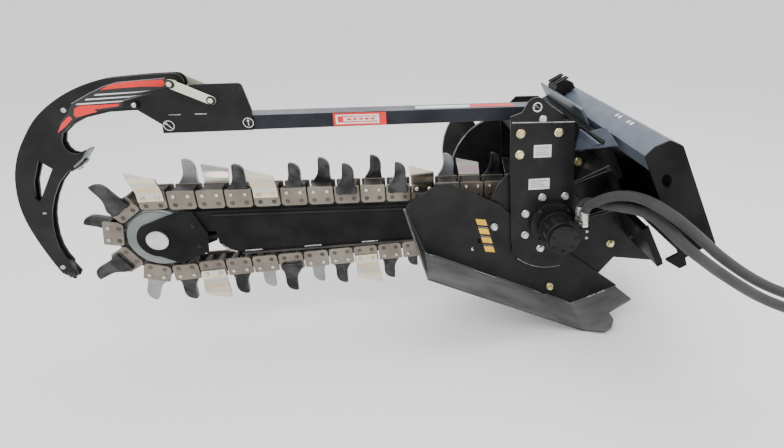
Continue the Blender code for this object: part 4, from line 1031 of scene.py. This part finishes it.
def make_crumber():
    """Welds, marks and labels of the crumber bar and its brackets."""
    for i, start in enumerate((-1.436, -1.366)):
        weld_bead("bracket_weld_%d" % i, [(start, BRACKET_FACE - 0.0005, 0.16),
                                          (start + 0.032, BRACKET_FACE - 0.0005, 0.1595)],
                  0.0016, "crumber")
    for i, centre in enumerate(((-1.444, 0.1285), (-1.225, 0.129))):
        lean = 0.006 if i == 0 else 0.0
        tip = (centre[0] - lean, centre[1] + 0.006)
        layer = (BRACKET_FACE - 0.0006, BRACKET_FACE - 0.0001)
        shapes = [(circle(centre, 0.015, 32), *layer, [circle(centre, 0.0132, 32)[::-1]]),
                  (capsule((centre[0] + lean, centre[1] - 0.008), tip, 0.001, 4), *layer),
                  (circle(tip, 0.0034, 14), *layer)]
        solids("pin_mark_%d" % i, shapes, "white", "crumber")
    plate("bracket_hole_rim", circle((-1.235, 0.23), 0.009), BRACKET_FACE - 0.0012,
          BRACKET_FACE - 0.0001, "black", "crumber", [circle((-1.235, 0.23), 0.0055)[::-1]], 0.0003)
    face = BAR_LOW.y
    frame_outline = [(-0.981, 0.1075), (-0.819, 0.1065), (-0.818, 0.147), (-0.979, 0.1475)]
    plate("bar_label", frame_outline, face - 0.0007, face - 0.0001, "red", "crumber", bevel=0.0002)
    inset = [(-0.973, 0.113), (-0.841, 0.1125), (-0.84, 0.1415), (-0.972, 0.142)]
    plate("bar_label_field", inset, face - 0.001, face - 0.0007, "white", "crumber", bevel=0.0002)
    bars = [[(-0.966, 0.118), (-0.846, 0.1175), (-0.846, 0.1205), (-0.966, 0.121)],
            [(-0.966, 0.1345), (-0.846, 0.134), (-0.846, 0.137), (-0.966, 0.1375)],
            [(-0.966, 0.121), (-0.95, 0.121), (-0.95, 0.1345), (-0.966, 0.1345)]]
    bars += [capsule((x, 0.1275), (x + 0.008, 0.1275), 0.0028, 4)
             for x in (-0.936 + 0.018 * k for k in range(5))]
    solids("bar_label_bars", [(bar, face - 0.0012, face - 0.001) for bar in bars], "red", "crumber")
    low, high = BAR_HIGH.z + 0.0001, BAR_HIGH.z + 0.0006
    for name, x0, x1, look in (("pale", -0.725, -0.548, "white"), ("red", -0.548, -0.4, "red")):
        plate("bar_top_label_" + name, [(x0, low), (x1, low), (x1, high), (x0, high)], 0.04,
              0.08, look, "crumber", bevel=0.0)
    bm, washers = bmesh.new(), bmesh.new()
    for y, facing in ((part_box("hook_link_near")[0].y, -1.0), (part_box("hook_link_far")[1].y, 1.0)):
        for x, z in ((-1.41, 0.248), (-1.312, 0.199)):
            add_hex_bolt(bm, (x, y - facing * 0.007, z), (0.0, facing, 0.0), 0.008, False)
            add_turned(washers, [(0.0, 0.0), (0.0125, 0.0), (0.0125, 0.0012), (0.0, 0.0012)],
                       (x, y - facing * 0.0079, z), (0.0, facing, 0.0), 20)
    make_piece("strap_bolts", bm, "zinc", "crumber")
    make_piece("strap_washers", washers, "dark", "crumber")
    bm = bmesh.new()
    pin_low, pin_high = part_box("hook_pin")
    for y, facing in ((pin_low.y - 0.0002, -1.0), (pin_high.y + 0.0002, 1.0)):
        add_round_head(bm, (HOOK_PIVOT[0], y, HOOK_PIVOT[1]), (0.0, facing, 0.0), 0.007)
    make_piece("hook_pin_heads", bm, "zinc", "crumber")


def decal(name, outline, look, lift=0.0):
    """A thin printed film on the hook's near face."""
    plate(name, outline, HOOK_FACE - 0.0006 - lift, HOOK_FACE - 0.0001 - lift, look, "hook",
          bevel=0.0002)


def make_hook():
    """Printed film, fasteners, scraper blade and tip grooves of the hooked shoe."""
    field = [(-1.6934, 0.1933), (-1.6361, 0.223), (-1.5965, 0.24), (-1.5602, 0.25), (-1.432, 0.26),
             (-1.4343, 0.2263), (-1.504, 0.2116), (-1.5596, 0.1989), (-1.5658, 0.18), (-1.6437, 0.17),
             (-1.696, 0.148), (-1.7262, 0.126), (-1.7567, 0.108), (-1.738, 0.142), (-1.715, 0.164)]
    decal("film_field", field, "glass_black")
    shapes = {
        "upper": ("red", [(-1.6102, 0.23), (-1.579, 0.245), (-1.5355, 0.252),
                          (-1.4394, 0.256), (-1.4359, 0.2462), (-1.4429, 0.236),
                          (-1.4971, 0.2373), (-1.5625, 0.2342)]),
        "lower": ("red", [(-1.6899, 0.1805), (-1.674, 0.188), (-1.6228, 0.1888),
                          (-1.57, 0.1908), (-1.575, 0.1834), (-1.64, 0.1762),
                          (-1.634, 0.169), (-1.6934, 0.1545), (-1.6968, 0.1626)]),
        "point": ("red", [(-1.754, 0.1115), (-1.7357, 0.138), (-1.715, 0.1565),
                          (-1.7072, 0.159), (-1.704, 0.1508), (-1.7262, 0.131)]),
        "line_top": ("grey", [(-1.6934, 0.195), (-1.6361, 0.2245), (-1.5965, 0.2415),
                              (-1.5602, 0.2515), (-1.432, 0.2612), (-1.432, 0.259),
                              (-1.5602, 0.2495), (-1.5965, 0.2395), (-1.6361, 0.2225),
                              (-1.6934, 0.193)]),
        "line_low": ("grey", [(-1.4343, 0.2275), (-1.504, 0.2126), (-1.56, 0.1999),
                              (-1.56, 0.1981), (-1.504, 0.2108), (-1.4343, 0.2255)]),
    }
    for name, (look, outline) in shapes.items():
        decal("film_" + name, outline, look, lift=0.0006)
    for k in range(3):
        start = (-1.625 - 0.027 * k, 0.219 - 0.0125 * k)
        stripe = [start, (start[0] + 0.118, start[1] + 0.005), (start[0] + 0.148, start[1] + 0.0075),
                  (start[0] + 0.11, start[1] + 0.0015), (start[0] - 0.004, start[1] - 0.004)]
        decal("film_stripe_%d" % k, stripe, "white", lift=0.0006)
    rivets = [(-1.7172, 0.1766), (-1.879, -0.323)]
    bolts("hook_bolts", rivets, HOOK_FACE, 0.0078, "zinc", "hook", add_round_head)
    bolts("hook_bolts_far", rivets, HOOK_BACK, 0.0078, "zinc", "hook", add_round_head, 1.0)
    weld_bead("hook_bright_weld", [(-1.872, HOOK_FACE - 0.0005, -0.1345),
                                   (-1.862, HOOK_FACE - 0.0005, -0.1335)], 0.0042, "hook")
    blade = [(-1.6945, 0.06), (-1.69, 0.056), (-1.715, 0.0255), (-1.744, 0.004),
             (-1.7475, 0.0085), (-1.7185, 0.03)]
    plate("scraper_blade", blade, HOOK_FACE - 0.001, HOOK_BACK + 0.001, "ring", "hook", bevel=0.001)
    backing = [(-1.711, 0.0245), (-1.72, 0.013), (-1.756, -0.0075), (-1.759, -0.0025), (-1.72, 0.0215)]
    plate("scraper_backing", backing, HOOK_FACE + 0.001, HOOK_BACK - 0.001, "dark", "hook",
          bevel=0.0008)
    bm = bmesh.new()
    for y in (HOOK_FACE + 0.01, HOOK_BACK - 0.01):
        add_hex_bolt(bm, (-1.738, y, 0.001), (0.5, 0.0, -0.87), 0.005)
    make_piece("scraper_bolts", bm, "zinc", "hook")
    wear = [(-1.887, -0.342), (-1.869, -0.306), (-1.861, -0.311), (-1.854, -0.353),
            (-1.859, -0.368), (-1.876, -0.356)]
    plate("tip_block", wear, HOOK_FACE + 0.0082, HOOK_BACK - 0.0082, "tooth", "hook", bevel=0.0012)
    grooves = []
    for k in range(3):
        x = -1.87 + 0.007 * k
        z = -0.364 + 0.002 * k
        groove = [(x, z), (x + 0.0038, z + 0.0012), (x + 0.0008, z + 0.0215), (x - 0.003, z + 0.0203)]
        grooves.append((groove, HOOK_FACE - 0.0022, HOOK_FACE - 0.0001))
    solids("tip_serrations", grooves, "tooth", "hook", 0.0006)


# -------- loader mount

def tilted_box(depth, across, height):
    """Outline and Y range of a block given in the mount's own depth, width and height."""
    corners = [tilted(d, h) for d, h in ((depth[0], height[0]), (depth[1], height[0]),
                                         (depth[1], height[1]), (depth[0], height[1]))]
    return corners, *across


def make_mount():
    """Index holes, ribs, bolts and welds of the mount and the carriage."""
    bm = bmesh.new()
    turn = Vector((-math.sin(MOUNT_TILT), 0.0, math.cos(MOUNT_TILT)))
    for y in (-0.275, -0.252, -0.19, -0.165):
        x, z = tilted(-0.04, 0.1935)
        add_turned(bm, [(0.0, 0.0), (0.0075, 0.0), (0.0075, 0.0008), (0.0055, 0.0008),
                        (0.0055, 0.0002), (0.0, 0.0002)], (x, y, z), turn, 16)
    make_piece("index_hole_rims", bm, "white", "mount_frame")
    lip = tilted_box((-0.1032, -0.0985), (0.01, 0.33), (0.199, 0.206))
    solids("rail_lip", [lip], "blue", bevel=0.0008)
    ribs = [tilted_box((-0.096, -0.038), across, (0.2442, 0.25))
            for across in ((0.262, 0.27), (0.286, 0.294), (0.326, 0.334), (0.35, 0.358))]
    ribs.append(tilted_box((-0.107, -0.1036), (0.262, 0.358), (0.21, 0.228)))
    solids("lock_bracket_ribs", ribs, "black", bevel=0.0008)
    make_rib("carriage_rib_upper", (-0.247, 0.0), (-0.1337, 0.06), (-0.1337, 0.085))
    make_rib("carriage_rib_lower", (-0.262, -0.14), (-0.1337, -0.085), (-0.1337, -0.06))
    make_gusset()
    seam = [tilted(-0.1337, 0.175), tilted(-0.1337, 0.042)]
    weld_bead("carriage_weld", [(x, -0.048, z) for x, z in seam], 0.0035, look="black")
    normal = Vector((-math.cos(MOUNT_TILT), 0.0, -math.sin(MOUNT_TILT)))
    bm = bmesh.new()
    for y, height in ((-0.215, 0.15), (-0.215, 0.07), (-0.12, -0.255), (0.205, -0.255),
                      (0.405, 0.15), (0.405, 0.07)):
        x, z = tilted(-0.1332, height)
        add_hex_bolt(bm, (x, y, z), normal, 0.0085)
    make_piece("carriage_bolts", bm, "black")
    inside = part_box("end_panel_near")[1].y
    line = [tilted(-0.002, -0.155), tilted(-0.002, 0.155)]
    for name, y in (("near", inside + 0.001), ("far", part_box("end_panel_far")[0].y - 0.001)):
        weld_bead("panel_weld_" + name, [(x - 0.01, y, z - 0.005) for x, z in line], 0.0032,
                  "mount_frame", "black")
    rear = Vector((math.cos(MOUNT_TILT), 0.0, math.sin(MOUNT_TILT)))
    bm = bmesh.new()
    for y in (-0.4, -0.24, 0.24, 0.4):
        for height in (-0.125, 0.12):
            x, z = tilted(-0.0102, height)
            add_hex_bolt(bm, (x, y, z), -rear, 0.009)
    make_piece("loader_plate_bolts", bm, "black", "mount_frame")


def folded(name, corners, faces, look):
    """A small piece of folded sheet, given by its corners and faces."""
    bm = bmesh.new()
    made = [bm.verts.new(corner) for corner in corners]
    for face in faces:
        bm.faces.new([made[k] for k in face])
    make_piece(name, bm, look, bevel=0.0008)


def make_gusset():
    """A folded gusset from the near side plate out to the carriage's rail."""
    near = SIDE_FACE - 0.0008
    corners = [(*tilted(-0.146, 0.148), near), (*tilted(-0.188, 0.109), near),
               (*tilted(-0.113, 0.177), -0.33), (*tilted(-0.102, 0.201), -0.24)]
    top = [(x, y, z) for x, z, y in corners]
    base = [(x - 0.003, y, z + 0.0042) for x, y, z in top]
    faces = [(0, 1, 2), (6, 5, 4), (0, 2, 3), (7, 6, 4), (1, 0, 4, 5), (2, 1, 5, 6),
             (3, 2, 6, 7), (0, 3, 7, 4)]
    folded("gusset_folded", top + base, faces, "blue")


def make_rib(name, foot, low, high):
    """A slim rib from the head frame's side plate to the carriage, in mount coordinates."""
    (fx, fz), (lx, lz), (hx, hz) = tilted(*foot), tilted(*low), tilted(*high)
    near = SIDE_FACE - 0.0003
    for number, (x, y, z) in enumerate(((lx, -0.205, lz), (hx, -0.225, hz))):
        weld_bead("%s_edge_%d" % (name, number), [(fx, near - 0.001, fz + 0.006 * number), (x, y, z)],
                  0.0016, look="ring")
    corners = [(fx, near, fz), (fx + 0.004, near, fz + 0.007), (lx, -0.205, lz),
               (hx, -0.225, hz), (lx, near, lz), (hx, near, hz)]
    folded(name, corners, [(0, 2, 4), (1, 5, 3), (0, 1, 3, 2), (2, 3, 5, 4), (4, 5, 1, 0)], "black")


# -------- studio

def make_studio():
    """Pale floor, white surroundings and soft lights."""
    low = cad_box[0][2] - 0.001
    bm = bmesh.new()
    bmesh.ops.create_grid(bm, x_segments=8, y_segments=8, size=FLOOR_HALF)
    bmesh.ops.translate(bm, vec=(0.0, 60.0, low), verts=bm.verts)
    mesh = bpy.data.meshes.new("floor")
    bm.to_mesh(mesh)
    bm.free()
    floor = bpy.data.objects.new("floor", mesh)
    bpy.context.scene.collection.objects.link(floor)
    mat = bpy.data.materials.new("floor")
    mat.use_nodes = True
    shader = mat.node_tree.nodes["Principled BSDF"]
    shader.inputs["Base Color"].default_value = (0.92, 0.92, 0.92, 1.0)
    shader.inputs["Roughness"].default_value = 0.85
    shader.inputs["Specular IOR Level"].default_value = 0.1
    mesh.materials.append(mat)
    world = bpy.data.worlds.new("studio")
    world.use_nodes = True
    sky = world.node_tree.nodes["Background"]
    sky.inputs["Color"].default_value = (1.0, 1.0, 1.0, 1.0)
    sky.inputs["Strength"].default_value = SKY_STRENGTH
    bpy.context.scene.world = world
    for name, settings in LIGHTS.items():
        soft_light(name, *settings)


def soft_light(name, place, target, size, power):
    """Square area light aimed at a point."""
    data = bpy.data.lights.new(name, "AREA")
    data.size = size
    data.energy = power
    light = bpy.data.objects.new(name, data)
    bpy.context.scene.collection.objects.link(light)
    light.location = place
    light.rotation_euler = (Vector(target) - Vector(place)).to_track_quat("-Z", "Y").to_euler()


def main():
    """Camera and hoses first, then everything else."""
    make_camera()
    for name, route in HOSES.items():
        make_hose(name, route)
    dress_nodes()
    make_chain()
    make_nose()
    make_head()
    make_auger()
    make_skid()
    make_crumber()
    make_hook()
    make_mount()
    make_studio()


main()
